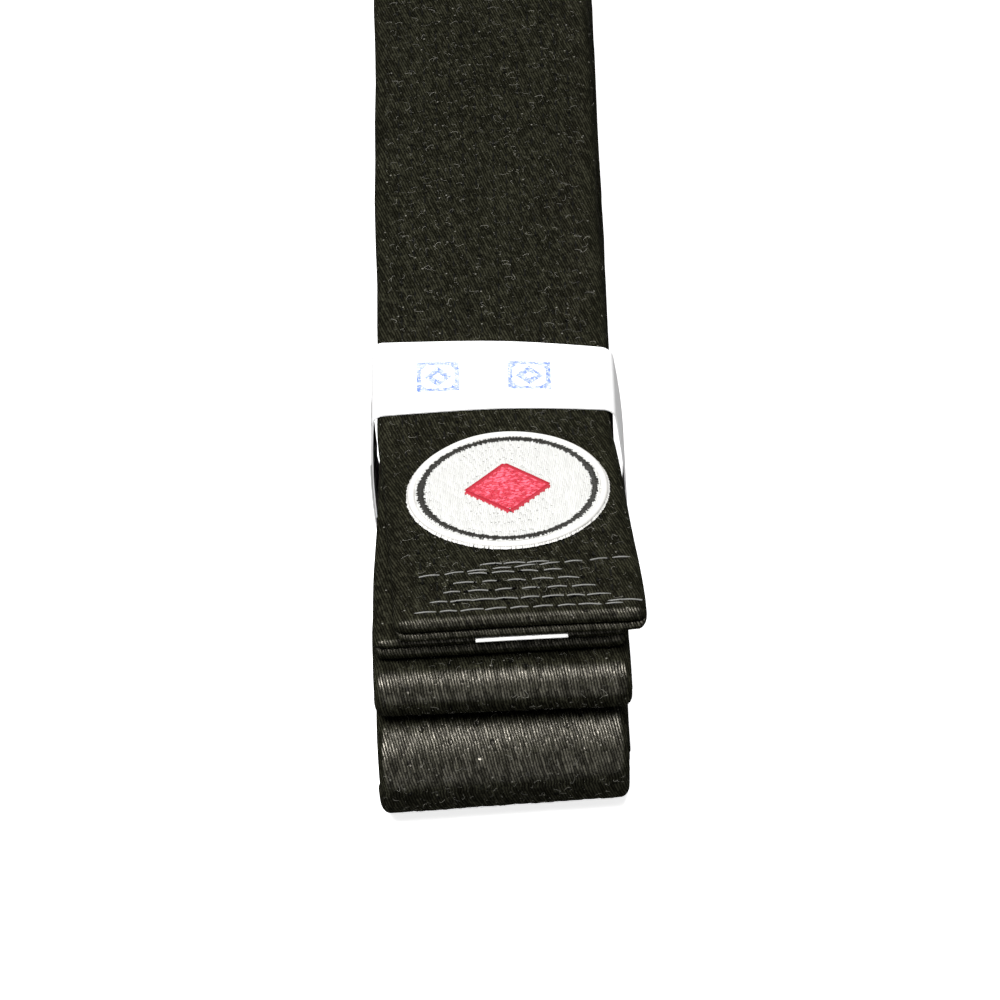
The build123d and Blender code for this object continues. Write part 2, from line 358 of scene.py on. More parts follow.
def new_material(name, colour_value, roughness, specular=None):
    """A Principled material's tree and shader node."""
    made = bpy.data.materials.new(name)
    made.use_nodes = True
    made.diffuse_color = (*colour_value, 1)
    shader = made.node_tree.nodes["Principled BSDF"]
    shader.inputs["Base Color"].default_value = (*colour_value, 1)
    shader.inputs["Roughness"].default_value = roughness
    if specular is not None:
        shader.inputs["Specular IOR Level"].default_value = specular
    return made.node_tree, shader


def use_group(tree, name, **inputs):
    """Place a shader group by name and return its outputs as wires."""
    made = tree.nodes.new("ShaderNodeGroup")
    made.node_tree = bpy.data.node_groups[name]
    for key, value in inputs.items():
        connect(value, made.inputs[key.replace("_", " ").title()])
    return {socket.name: Wire(socket) for socket in made.outputs}


def cloth_coordinates(tree):
    """The cloth's own U and V in millimetres."""
    uv = node(tree, "ShaderNodeUVMap", uv_map="cloth")
    scaled = node(tree, "ShaderNodeVectorMath", {0: uv, "Scale": 1 / MM}, operation="SCALE")
    u, v = node(tree, "ShaderNodeSeparateXYZ", {0: scaled}, (0, 1))
    return scaled, u, v


# Shader groups


def rounded(value, power):
    """Round humps, one for each whole step of value."""
    return 1.0 - (value.math("FRACT") * 2.0 - 1.0).math("ABSOLUTE").math("POWER", power)


def satin_weave_group():
    """Slanting ribs broken into short floats: height, a random tone for each float and a finer grain."""
    sizes = {"U": 0.0, "V": 0.0, "Rib Pitch": 0.46, "Lean": 0.28, "Float Length": 1.7}
    made = {"Height": 0.0, "Tone": 0.0, "Grain": 0.0}
    tree, given, result = new_group("satin_weave", "ShaderNodeTree", sizes, made)
    u, v = given["U"], given["V"]
    place = combined(tree, u, v)
    cosine, sine = given["Lean"].math("COSINE"), given["Lean"].math("SINE")
    sway = (noise(place, 0.55, 3.0) - 0.5) * 0.9
    ribs = (u * cosine + v * sine) / given["Rib Pitch"] + sway
    rib = ribs.math("FLOOR")
    floats = (v * cosine - u * sine) / given["Float Length"] + chance_of(rib, "1D")
    tone = chance_of(combined(tree, rib, floats.math("FLOOR")), "2D")
    raised = rounded(ribs, 1.05) * (rounded(floats, 4.0) * 0.5 + 0.5)
    connect(raised * ramp(tone, 0.0, 1.0, 0.75, 1.0), result["Height"])
    connect(tone, result["Tone"])
    connect(noise(place, 5.0, 3.0, 0.6), result["Grain"])


def needle_holes_group():
    """Where the needle went in, along the quilting rows of the A side: a mask of dimples, which the cloth
    sinks and darkens with painted shade.
    """
    sizes = {"U": 0.0, "V": 0.0, "First Row": 1.55, "Row Pitch": 2.3, "Stitch Spacing": 4.4, "Reach": 16.2}
    tree, given, result = new_group("needle_holes", "ShaderNodeTree", sizes, {"Hole": 0.0})
    u, v, spacing = given["U"], given["V"], given["Stitch Spacing"]
    side = u.math("ABSOLUTE")
    rows = (side - given["First Row"]) / given["Row Pitch"]
    nearest = rows.math("ROUND")
    from_row = (rows - nearest) * given["Row Pitch"]
    row = (nearest + 1.0) * u.math("SIGN")
    steps = v / spacing + chance_of(row, "1D") * 7.0
    chance = chance_of(combined(tree, row, steps.math("ROUND")), "2D")
    from_step = (steps - steps.math("ROUND")) * spacing
    away = (from_row * from_row + from_step * from_step).math("SQRT")
    hole = ramp(away, 0.16, 0.5, 1.0, 0.0) * ramp(chance, 0.25, 0.8)
    connect(hole * side.math("LESS_THAN", given["Reach"]), result["Hole"])


def dust_group():
    """Fine pale specks and short fuzz on cloth, from object coordinates."""
    made = {"Speck": 0.0, "Haze": 0.0}
    tree, given, result = new_group("dust", "ShaderNodeTree", {"Amount": 0.5}, made)
    place = object_place(tree)
    specks = {"Vector": place, "Scale": 620.0, "Randomness": 1.0}
    distance, position = node(tree, "ShaderNodeTexVoronoi", specks, ("Distance", "Position"))
    shown = chance_of(position, "3D").math("GREATER_THAN", 1.0 - given["Amount"] * 0.4)
    connect(ramp(distance, 0.06, 0.13, 1.0, 0.0) * shown, result["Speck"])
    connect(ramp(noise(place, 900.0, 4.0, 0.7), 0.5, 0.72), result["Haze"])


def stamp_ornament_group():
    """One square ornament: an outline, a ringed diamond and four corner triangles."""
    sizes = {"U": 0.0, "V": 0.0, "Centre": 0.0, "Half Width": 3.7, "Half Height": 3.8}
    given, result = new_group("stamp_ornament", "ShaderNodeTree", sizes, {"Ink": 0.0})[1:]
    x = ((given["U"] - given["Centre"]) / given["Half Width"]).math("ABSOLUTE")
    y = (given["V"] / given["Half Height"]).math("ABSOLUTE")
    far, both = x.math("MAXIMUM", y), x + y
    within = ramp(far, 0.96, 1.02, 1.0, 0.0)
    outline = ramp(far, 0.73, 0.79) * within
    diamond = ramp(both, 0.64, 0.7, 1.0, 0.0) * ramp(both, 0.2, 0.26)
    corners = ramp(both, 1.22, 1.28) * within
    connect(outline.math("MAXIMUM", diamond).math("MAXIMUM", corners), result["Ink"])


# Materials


def cloth_material():
    """Black cotton satin with needle holes and dust, which shines where it faces the eye; painted shade
    darkens the needle holes and the valleys between the floats.
    """
    hue, strap = settings("hue"), settings("strap")
    tree, shader = new_material("black_satin", hue.cloth_light, 0.5)
    scaled, u, v = cloth_coordinates(tree)
    weave = use_group(tree, "satin_weave", u=u, v=v)
    rows = {"first_row": strap.first_row / MM, "row_pitch": strap.row_pitch / MM}
    hole = use_group(tree, "needle_holes", u=u, v=v, **rows)["Hole"]
    dust = use_group(tree, "dust", amount=0.8)
    tone, grain = weave["Tone"], weave["Grain"]
    # The base colour runs from painted shade in the valleys between the floats to the cloth's own colour on
    # their crests, with a random tone for each float and a grain.
    lit = weave["Height"] * ramp(tone, 0.0, 1.0, 0.5, 1.1) * ramp(
        noise(scaled, 0.12, 3.0), 0.3, 0.7, 0.85, 1.1
    )
    base = blend_colour(lit * ramp(grain, 0.3, 0.7, 0.25, 1.7), hue.cloth_valley_shade, hue.cloth_light)
    # Painted shade: the needle-hole dimples darkened nearly to black.
    base = blend_colour(hole * 0.85, base, (0.002, 0.002, 0.002))
    base = blend_colour(dust["Haze"] * 0.05, base, hue.haze)
    connect(blend_colour(dust["Speck"] * 0.5, base, hue.lint), shader.inputs["Base Color"])
    facing = node(tree, "ShaderNodeLayerWeight", {"Blend": 0.5}, "Facing")
    connect(ramp(facing, 0.12, 0.5, 0.36, 0.95), shader.inputs["Roughness"])
    from_tip = v.math("MINIMUM", calc(tree, "SUBTRACT", built["rings"]["v"][-1] / MM, v))
    gloss = weave["Height"] * ramp(tone, 0.0, 1.0, 0.35, 1.0) * ramp(grain, 0.3, 0.7, 0.3, 1.2)
    gloss = gloss * ramp(facing, 0.0, 0.25, 1.0, 0.02) * ramp(from_tip, 0.5, 4.0, 0.6, 1.0)
    connect(gloss, shader.inputs["Specular IOR Level"])
    shader.inputs["Specular Tint"].default_value = (1.0, 0.93, 0.8, 1)
    shader.inputs["IOR"].default_value = 2.5
    bumped(shader, grain * 0.5 + weave["Height"] - hole * 2.2, 0.0001, 1.0)


def thread_material(name, colour_value, pale=None, roughness=0.55, specular=0.35, sheen=0.08):
    """Twisted thread: a tone for each stitch, fine twist grain and a soft sheen."""
    tree, shader = new_material(name, colour_value, roughness, specular)
    tone = thread_tone(tree)
    grain = noise(object_place(tree), 9000.0, 2.0, 0.6)
    dark = tuple(0.72 * c for c in colour_value)
    base = blend_colour(grain * 0.6 + tone * 0.4, dark, colour_value)
    if pale:
        base = blend_colour(ramp(tone, 0.45, 1.0, 0.0, 0.8), base, pale)
    connect(base, shader.inputs["Base Color"])
    shader.inputs["Sheen Weight"].default_value = sheen
    bumped(shader, grain, 0.00003, 0.6)


def plain_cloth_material(name, colour_value):
    """Plain woven ground cloth of the patch and the label."""
    tree, shader = new_material(name, colour_value, 0.8, 0.2)
    wave = {"Vector": object_place(tree), "Scale": 1300.0, "Distortion": 0.4}
    across, along = (node(tree, "ShaderNodeTexWave", wave, "Fac", bands_direction=way) for way in "XY")
    height = across * along
    dark = tuple(0.82 * c for c in colour_value)
    connect(blend_colour(height, dark, colour_value), shader.inputs["Base Color"])
    bumped(shader, height, 0.00004, 0.7)


def paper_material():
    """Smooth white paper with two stamped blue ornaments and a fine fibre grain."""
    hue = settings("hue")
    tree, shader = new_material("white_paper", hue.paper, 0.62, 0.3)
    scaled, u, v = cloth_coordinates(tree)
    left, right = (use_group(tree, "stamp_ornament", u=u, v=v, centre=x)["Ink"] for x in (-9.3, 6.3))
    broken = ramp(noise(scaled, 2.6, 4.0, 0.7), 0.36, 0.48)
    patchy = ramp(noise(scaled, 0.9, 2.0), 0.3, 0.7, 0.55, 1.0)
    ink = left.math("MAXIMUM", right) * (broken * patchy)
    connect(blend_colour(ink, hue.paper, hue.ink), shader.inputs["Base Color"])
    bumped(shader, noise(scaled, 1.4, 4.0, 0.6), 0.00006, 0.35)


def lint_material():
    """Pale cotton fibres."""
    lint = settings("hue").lint
    tree, shader = new_material("lint", lint, 0.9, 0.1)
    connect(blend_colour(thread_tone(tree), (0.09, 0.09, 0.08), lint), shader.inputs["Base Color"])


def make_materials():
    """Every shader group and material, once."""
    for build in (satin_weave_group, needle_holes_group, dust_group, stamp_ornament_group):
        build()
    for build in (cloth_material, paper_material, lint_material):
        build()
    hue = settings("hue")
    thread_material("row_thread", hue.row_thread)
    # The lengthwise rows' thread, darkened as painted shade of its dimples, with little shine.
    thread_material("thread_with_painted_shade", hue.thread_with_painted_shade, specular=0.1, sheen=0.0)
    thread_material("white_embroidery", hue.white_thread)
    thread_material("field_embroidery", hue.field_thread)
    thread_material("black_embroidery", hue.black_thread)
    thread_material("red_embroidery", hue.red_thread, pale=hue.red_pale)
    thread_material("red_rim_embroidery", hue.red_rim)
    # Painted shade: a black, matt material for stubs that stand in the needle holes.
    thread_material("painted_hole_shade", (0.002, 0.002, 0.002), roughness=1.0, specular=0.0, sheen=0.0)
    plain_cloth_material("patch_ground", hue.white_thread)
    plain_cloth_material("label_cloth", hue.label)
    new_material("dried_glue", (0.8, 0.78, 0.7), 0.4)


# Geometry node trees


def random_number(given, low, high, shift=0.0):
    """A random number for each point, from the tree's seed and a shift of it."""
    seed = given["Seed"] + shift if shift else given["Seed"]
    inputs = {2: low, 3: high, "Seed": seed}
    return node(seed.tree, "FunctionNodeRandomValue", inputs, 1, data_type="FLOAT")


def named_attribute(tree, name, data_type):
    """A named attribute of the mesh."""
    return node(tree, "GeometryNodeInputNamedAttribute", {"Name": name}, data_type=data_type)


def turned_about_z(rotation, angle):
    """A rotation turned further about its own Z axis."""
    inputs = {"Rotation": rotation, "Rotate By": combined(rotation.tree, z=angle)}
    return node(rotation.tree, "FunctionNodeRotateRotation", inputs, rotation_space="LOCAL")


def swept(curve, sides, radius):
    """A round thread along a curve."""
    tree = curve.tree
    section = node(tree, "GeometryNodeCurvePrimitiveCircle", {"Resolution": sides, "Radius": radius})
    inputs = {"Curve": curve, "Profile Curve": section, "Fill Caps": True}
    return node(tree, "GeometryNodeCurveToMesh", inputs)


def placed_threads(given, result, places, tone_shift):
    """Put threads in their places, give each a tone and the material, and hand them out."""
    tree = given["Seed"].tree
    placed = node(tree, "GeometryNodeInstanceOnPoints", places)
    inputs = {"Geometry": placed, "Name": "thread_tone", "Value": random_number(given, 0.0, 1.0, tone_shift)}
    kinds = {"data_type": "FLOAT", "domain": "INSTANCE"}
    toned = node(tree, "GeometryNodeStoreNamedAttribute", inputs, **kinds)
    real = node(tree, "GeometryNodeRealizeInstances", {"Geometry": toned})
    dyed = node(tree, "GeometryNodeSetMaterial", {"Geometry": real, "Material": given["Material"]})
    connect(dyed, result["Geometry"])


def laid_threads_tree():
    """Lays one short arched thread at each step of the guide lines it is given."""
    sizes = {
        "Geometry": "Geometry",
        "Spacing": 0.0044,
        "Thread Length": 0.0034,
        "Thread Radius": 0.00014,
        "Arch": 0.0001,
        "Sink": 0.0001,
        "Length Jitter": 0.15,
        "Turn Jitter": 0.04,
        "Seed": 7,
        "Material": "Material",
    }
    tree, given, result = new_group("laid_threads", "GeometryNodeTree", sizes, {"Geometry": "Geometry"})
    guides = node(tree, "GeometryNodeMeshToCurve", {"Mesh": given["Geometry"]})
    inputs = {"Curve": guides, "Length": given["Spacing"]}
    steps = node(tree, "GeometryNodeResampleCurve", inputs, mode="LENGTH")
    lay = named_attribute(tree, "lay", "FLOAT_VECTOR")
    face_up = named_attribute(tree, "face_up", "FLOAT_VECTOR")
    along = node(tree, "FunctionNodeAlignRotationToVector", {"Vector": lay}, axis="X")
    inputs = {"Rotation": along, "Vector": face_up}
    upright = node(tree, "FunctionNodeAlignRotationToVector", inputs, axis="Z", pivot_axis="X")
    wobble = random_number(given, given["Turn Jitter"] * -1.0, given["Turn Jitter"])
    reach, drop = given["Thread Length"] * 0.5, given["Sink"] * -1.0
    arc = {
        "Resolution": 6,
        "Start": combined(tree, reach * -1.0, z=drop),
        "Middle": combined(tree, z=given["Arch"]),
        "End": combined(tree, reach, z=drop),
    }
    bezier = node(tree, "GeometryNodeCurveQuadraticBezier", arc)
    thread = swept(bezier, 5, given["Thread Radius"])
    smooth = node(tree, "GeometryNodeSetShadeSmooth", {"Geometry": thread})
    jitter = given["Length Jitter"]
    stretch = random_number(given, 1.0 - jitter, jitter + 1.0, 1.0)
    places = {
        "Points": steps,
        "Instance": smooth,
        "Rotation": turned_about_z(upright, wobble),
        "Scale": combined(tree, stretch, 1.0, 1.0),
    }
    placed_threads(given, result, places, 2.0)


def lint_scatter_tree():
    """Scatters short curled fibres over the faces marked as exposed."""
    sizes = {
        "Geometry": "Geometry",
        "Density": 200000.0,
        "Fibre Length": 0.001,
        "Fibre Radius": 0.00002,
        "Curl": 0.5,
        "Lift": 0.00008,
        "Seed": 3,
        "Material": "Material",
    }
    tree, given, result = new_group("lint_scatter", "GeometryNodeTree", sizes, {"Geometry": "Geometry"})
    density = named_attribute(tree, "exposed", "FLOAT") * given["Density"]
    spread = {"Mesh": given["Geometry"], "Density": density, "Seed": given["Seed"]}
    points, rotation = node(tree, "GeometryNodeDistributePointsOnFaces", spread, ("Points", "Rotation"))
    reach, lift = given["Fibre Length"], given["Lift"]
    bend = reach * given["Curl"]
    curl = {
        "Resolution": 5,
        "Start": combined(tree, reach * -0.5),
        "Start Handle": combined(tree, 0.0, bend, lift),
        "End Handle": combined(tree, reach * 0.7, bend, lift),
        "End": combined(tree, reach * 0.4, lift),
    }
    bezier = node(tree, "GeometryNodeCurvePrimitiveBezierSegment", curl, mode="POSITION")
    spin = random_number(given, 0.0, math.tau, 1.0)
    share = random_number(given, 0.0, 1.0, 2.0).math("POWER", 4.0) * 1.5 + 0.25
    places = {
        "Points": points,
        "Instance": swept(bezier, 3, given["Fibre Radius"]),
        "Rotation": turned_about_z(rotation, spin),
        "Scale": combined(tree, share, share, 1.0),
    }
    placed_threads(given, result, places, 3.0)


def grown(name, source, tree_name, **inputs):
    """Run a geometry node tree on a mesh and keep the result as a plain mesh object."""
    carrier = shown(name + "_guide", source)
    modifier = carrier.modifiers.new("grow", "NODES")
    modifier.node_group = bpy.data.node_groups[tree_name]
    items = modifier.node_group.interface.items_tree
    sockets = {item.name: item.identifier for item in items if item.in_out == "INPUT"}
    for key, value in inputs.items():
        modifier[sockets[key.replace("_", " ").title()]] = value
    graph = bpy.context.evaluated_depsgraph_get()
    mesh = bpy.data.meshes.new_from_object(carrier.evaluated_get(graph))
    bpy.data.objects.remove(carrier)
    mesh.name = name
    return shown(name, mesh)


def shown(name, data):
    """An object of a mesh, camera or light, linked to the scene."""
    made = bpy.data.objects.new(name, data)
    bpy.context.scene.collection.objects.link(made)
    return made


# The strap's path


def eased(share, ease=0.15):
    """A straight climb from 0 to 1 with short eased ends."""
    t = np.clip(share, 0, 1)
    low = t * t / (2 * ease)
    high = (1 - ease) - (1 - t) ** 2 / (2 * ease)
    return np.where(t < ease, low, np.where(t > 1 - ease, high, t - ease / 2)) / (1 - ease)


# Distances behind the front, ahead of the hinge line and ahead of the back where layers reach full height.
FRONT_OPEN, LOWEST_FRONT_OPEN, BACK_OPEN, LOWEST_BACK_OPEN = 0.015, 0.027, 0.026, 0.036
BACK_SLIM_END = 0.063  # distance from the back where the slim stretch ends
HINGE_BEND = 0.006  # half the length over which the upper end starts to run aslant
BACK_FOLD_WIDENING, REAR_WIDENING = 0.0004, 0.00016  # extra half width at the back folds and behind the band
SWAY = ((0.00012, 90, 1.7), (0.00008, 210, 1.0))  # height, waves and shift per layer of the long edges
FRONT_OF_LAYER = {
    1: "upper", 2: "lower", 3: "middle", 4: "middle", 5: "nose", 6: "inner", 7: "inner", 8: "nose"
}
SIDE_SHIFT = {"upper": 0.0, "lower": -0.00023, "middle": -0.0001, "inner": -0.0004, "nose": -0.00082}
FRONT_HALF_WIDTH = {"upper": 0.0206, "lower": 0.0208, "middle": 0.02105, "inner": 0.0204, "nose": 0.0205}
REAR_SHIFT = {1: -0.00025, 2: 0.0001, 3: -0.0001, 4: 0.0002, 5: -0.0003, 6: 0.0001, 7: -0.0004, 8: 0.0}


def openness(layer, y):
    """How far a layer has left the slim stretch: 0 under the band, 1 at the folds."""
    s = settings("strap")
    ends = {1: s.upper_tip_y, 2: s.lower_tip_y, 8: s.hinge_y - LOWEST_FRONT_OPEN}
    front_end = ends.get(layer, s.front + FRONT_OPEN)
    front = eased((s.hinge_y - y) / (s.hinge_y - front_end))
    back_start = s.back - BACK_SLIM_END
    back_end = s.back - (LOWEST_BACK_OPEN if layer == 8 else BACK_OPEN)
    return np.maximum(front, eased((y - back_start) / (back_end - back_start)))


def layer_height(layer, y):
    """Height of a layer's middle along Y."""
    s = settings("strap")
    below = 8 - layer
    slim = s.belly_rise + s.thickness / 2 + below * (s.thickness + s.slim_gap)
    full = s.fold_thickness / 2 + below * (s.fold_thickness + s.fold_gap)
    if layer == 1:
        full += s.top_gap
    return slim + (full - slim) * openness(layer, y)


def stations(start, stop, steps):
    """Places from start to stop; steps lists (end of zone, spacing) in rising Y."""
    low, high = min(start, stop), max(start, stop)
    places = [low]
    for zone_end, spacing in steps:
        zone_end = min(zone_end, high)
        if zone_end > places[-1] + 1e-9:
            pieces = max(1, round((zone_end - places[-1]) / spacing))
            places += list(np.linspace(places[-1], zone_end, pieces + 1)[1:])
    return np.array(places if start < stop else places[::-1])


def layer_run(layer, start, stop, tip_spacing=0.002):
    """Path samples (layer, y, z) along one layer."""
    s = settings("strap")
    zones = [(start + 0.021 if start < stop else stop + 0.021, tip_spacing)]
    zones += [(s.hinge_y - 0.004, 0.002), (s.seam_y, 0.0015), (s.seam_y + 0.02, 0.004)]
    zones += [(s.back - BACK_SLIM_END, 0.012), (s.back, 0.005)]
    y = stations(start, stop, zones)
    return [(layer, place, height) for place, height in zip(y, layer_height(layer, y))]


def fold_turn(arriving, leaving, centre_y, way, step):
    """Path samples round one fold (way 1 at the back, -1 in front), without its first and last point."""
    low, high = float(layer_height(arriving, centre_y)), float(layer_height(leaving, centre_y))
    middle, radius = (low + high) / 2, (high - low) / 2
    pieces = max(6, round(180 / step))
    reach = way * abs(radius)
    turn = []
    for a in np.linspace(0, math.pi, pieces + 1)[1:-1]:
        layer = arriving if a < math.pi / 2 else leaving
        turn.append((layer, centre_y + reach * math.sin(a), middle - radius * math.cos(a)))
    return turn


def strap_samples():
    """The whole path of the strap, from the upper tip to the lower tip."""
    s = settings("strap")
    pitch = s.fold_thickness + s.fold_gap
    back_centre = s.back - 3.5 * pitch - s.fold_thickness / 2 - s.top_gap / 2
    half = s.fold_thickness / 2
    front_centre = {
        (8, 5): s.front + half + 1.5 * pitch,
        (4, 3): s.middle_nose_y + half + 0.5 * pitch,
        (6, 7): s.front + pitch + half + 0.5 * pitch,
    }
    path = layer_run(1, s.upper_tip_y, back_centre, 0.0004)
    order = [(1, 8), (8, 5), (5, 4), (4, 3), (3, 6), (6, 7), (7, 2)]
    here = back_centre
    for index, (arriving, leaving) in enumerate(order):
        at_back = index % 2 == 0
        step = 4 if (arriving, leaving) in ((8, 5), (4, 3), (1, 8)) else 10
        centre = back_centre if at_back else front_centre[(arriving, leaving)]
        if index:
            path += layer_run(arriving, here, centre)[1:]
        path += fold_turn(arriving, leaving, centre, 1 if at_back else -1, step)
        path.append((leaving, centre, float(layer_height(leaving, centre))))
        here = centre
    path += layer_run(2, here, s.lower_tip_y, 0.0006)[1:]
    return path


def unit(vectors):
    """Vectors of length one."""
    return vectors / np.linalg.norm(vectors, axis=-1, keepdims=True)


def strap_rings():
    """Arrays along the strap: layer, place, three directions, the section's sizes and length v."""
    s = settings("strap")
    layers, y, z = np.array(strap_samples()).T
    layers = layers.astype(int)
    gap = np.hypot(np.diff(y), np.diff(z))
    v = np.concatenate([[0], np.cumsum(gap)])
    step = np.stack([np.diff(y), np.diff(z)], 1) / gap[:, None]
    tangent = np.empty((len(y), 2))
    tangent[0], tangent[-1] = step[0], step[-1]
    tangent[1:-1] = step[:-1] * gap[1:, None] + step[1:] * gap[:-1, None]
    tangent = unit(tangent)
    opened = np.array([float(openness(layer, place)) for layer, place in zip(layers, y)])
    in_front = y < 0
    x = np.full(len(y), s.centre_x)
    half = np.full(len(y), s.half_width)
    rear_share = np.clip((y - s.seam_y) / 0.06, 0, 1) * np.clip((s.back - 0.02 - y) / 0.05, 0, 1)
    for layer in range(1, 9):
        mine = layers == layer
        kind = FRONT_OF_LAYER[layer]
        front_share = np.where(mine & in_front, opened, 0)
        x += SIDE_SHIFT[kind] * front_share + np.where(mine, REAR_SHIFT[layer] * rear_share, 0)
        half += (FRONT_HALF_WIDTH[kind] - s.half_width) * front_share
    half += np.where(in_front, 0, BACK_FOLD_WIDENING * opened)
    half += REAR_WIDENING * np.clip((y - 0.02) / 0.06, 0, 1)
    top = (layers == 1) & in_front
    bend = HINGE_BEND
    ahead = s.hinge_y - y
    eased_in = np.where(ahead > -bend, (ahead + bend) ** 2 / (4 * bend), 0)
    turned = np.where(ahead > bend, ahead, eased_in)
    x += np.where(top, s.skew * turned + s.hinge_offset * np.clip(turned / bend, 0, 1), 0)
    drift = np.where(top, -s.skew * np.clip((ahead + bend) / (2 * bend), 0, 1), 0)
    for height, waves, shift in SWAY:
        x += height * np.sin(y * waves + layers * shift)
    side = unit(np.stack([np.ones(len(y)), -drift, np.zeros(len(y))], 1))
    outward = np.stack([np.zeros(len(y)), -tangent[:, 1], tangent[:, 0]], 1)
    outward[:, 0] = -outward[:, 1] * side[:, 1]
    outward = unit(outward)
    forward = np.cross(outward, side)
    forward *= np.sign((forward[:, 1:] * tangent).sum(1))[:, None]
    thick = (s.thickness + (s.fold_thickness - s.thickness) * opened) / 2
    crown = s.crown * (8 - layers) / 7 * (1 - np.where(top, 0.6, 1.0) * opened)
    aslant = np.where(np.isin(layers, (5, 8)) & in_front, s.fold_skew * opened, 0)
    aslant += np.where(top, s.tip_skew * opened, 0)
    aslant += np.where(np.isin(layers, (3, 4)) & in_front, s.middle_skew * opened, 0)
    return {
        "layer": layers,
        "place": np.stack([x, y, z], 1),
        "side": side,
        "out": outward,
        "forward": forward,
        "half": half,
        "thick": thick,
        "crown": crown,
        "aslant": aslant,
        "v": v,
    }


def ring_at(rings, v):
    """Interpolate the ring arrays at lengths v."""
    v = np.asarray(v, float)
    made = {}
    for key in ("place", "side", "out", "forward"):
        parts = [np.interp(v, rings["v"], rings[key][:, axis]) for axis in range(3)]
        made[key] = np.stack(parts, -1) if key == "place" else unit(np.stack(parts, -1))
    for key in ("half", "thick", "crown", "aslant"):
        made[key] = np.interp(v, rings["v"], rings[key])
    return made


def edge_height(x, half):
    """Share of the half thickness left at x, for the rounded long edges."""
    rounding = settings("strap").edge_rounding
    over = np.clip((np.abs(x) - (half - rounding)) / rounding, 0, 1)
    return (1 - over**2.3) ** (1 / 2.3)


def on_strap(rings, x, v, lift=0.0, face=1):
    """Points on the strap's A side (face 1) or B side (face -1), with their outward directions."""
    at = ring_at(rings, v)
    x = np.asarray(x, float)
    level = face * (at["thick"] * edge_height(x, at["half"]) + lift)
    points = at["place"] + at["side"] * x[..., None] + at["out"] * level[..., None]
    points[..., 2] += at["crown"] * (1 - (x / at["half"]) ** 2)
    points[..., 1] += at["aslant"] * x
    return points, at["out"] * face, at


def section_columns():
    """Places of the columns across the strap, at its slim width."""
    s = settings("strap")
    inner = s.half_width - s.edge_rounding
    rows = s.first_row + s.row_pitch * np.arange(s.row_count)
    beside = [rows + shift for shift in (-0.0006, 0.0, 0.0006, 0.00115)]
    right = np.unique(np.round(np.concatenate([[0], *beside, [inner]]), 7))
    right = right[(right >= 0) & (right <= inner)]
    turn = np.radians(np.array([18, 36, 54, 70, 81, 90.0]))
    right = np.concatenate([right, inner + s.edge_rounding * np.sin(turn)])
    return np.concatenate([-right[:0:-1], right])


def groove_field(x, from_tip):
    """How deep the nested quilting rows press in at x and a distance from a tip."""
    s = settings("strap")
    field = np.zeros(np.broadcast(x, from_tip).shape)
    for row in range(s.row_count):
        leg = s.first_row + s.row_pitch * (s.row_count - 1 - row)
        cross = s.first_cross_row + s.cross_row_pitch * row
        beside = np.abs(x) - leg
        before = cross - from_tip
        outside = np.hypot(np.maximum(beside, 0), np.maximum(before, 0))
        outside = outside + np.minimum(np.maximum(beside, before), 0)
        field = np.maximum(field, np.exp(-((outside / s.groove_width) ** 2)))
    return field


LIP_SEAM = -0.24  # where the two lips of a tip meet, as a share of the half thickness
LIP_DEPTH = 0.8  # how deep the groove between the lips is, as a share of the half thickness
LIP_RUN = 0.0026  # how far behind the rounded corners the lips begin


def tip_rings(x, height):
    """Offsets (inward, up) of the lips that close a tip, A side then B side, outermost first."""
    s = settings("strap")
    half = np.abs(x).max()
    over = np.clip((np.abs(x) - (half - s.corner)) / s.corner, 0, 1)
    plan = s.corner * (1 - np.sqrt(1 - over**2))
    seam = LIP_SEAM * height
    lips = []
    for face, level in ((1, height), (-1, -height)):
        radius = np.abs(level - seam) / 2
        rings = [(plan + LIP_DEPTH * height, seam)]
        for angle in np.linspace(math.pi, 0, 9):
            up = seam + face * radius * (1 + math.cos(angle))
            rings.append((plan + radius * (1 - math.sin(angle)), up))
        lips.append(rings)
    return lips


CROSS_REACH = 0.024  # distance from a tip within which the quilting sinks deeper


def sheet_points(rings, first, last, columns):
    """Points, U and V of both sides of the strap from ring first to ring last."""
    s = settings("strap")
    cut = slice(first, last + 1)
    half = rings["half"][cut][:, None]
    x = columns[None] * half / s.half_width
    level = rings["thick"][cut][:, None] * edge_height(x, half)
    total = rings["v"][-1]
    v = rings["v"][cut][:, None]
    from_tip = np.minimum(v, total - v)
    groove = s.groove_depth * groove_field(x, from_tip) * (np.abs(x) < half - s.edge_rounding)
    groove = groove * (1 + 3.0 * np.clip((CROSS_REACH - from_tip) / 0.006, 0, 1))
    lumps = np.sin(x * 520 + 2 * np.sin(v * 130)) * np.sin(v * 610 + 3 * np.sin(x * 170))
    groove = groove + s.lumpiness * lumps
    sides = []
    for face in (1, -1):
        points = rings["place"][cut][:, None] + rings["side"][cut][:, None] * x[..., None]
        points = points + rings["out"][cut][:, None] * (face * (level - groove))[..., None]
        points[..., 2] += rings["crown"][cut][:, None] * (1 - (x / half) ** 2)
        points[..., 1] += rings["aslant"][cut][:, None] * x
        sides.append(points)
    return sides, x, np.broadcast_to(v, x.shape)


def tip_points(rings, index, direction, columns):
    """Lip points of a tip: arrays for the A and the B side, outermost ring first."""
    s = settings("strap")
    half = rings["half"][index]
    x = columns * half / s.half_width
    height = rings["thick"][index] * edge_height(x, half)
    lips = tip_rings(x, height)
    base = rings["place"][index] + rings["side"][index] * x[:, None]
    base[:, 2] += rings["crown"][index] * (1 - (x / half) ** 2)
    base[:, 1] += rings["aslant"][index] * x
    forward, out = direction * rings["forward"][index], rings["out"][index]
    return [
        np.array([base + forward * away[:, None] + out * up[:, None] for away, up in rows])
        for rows in lips
    ]


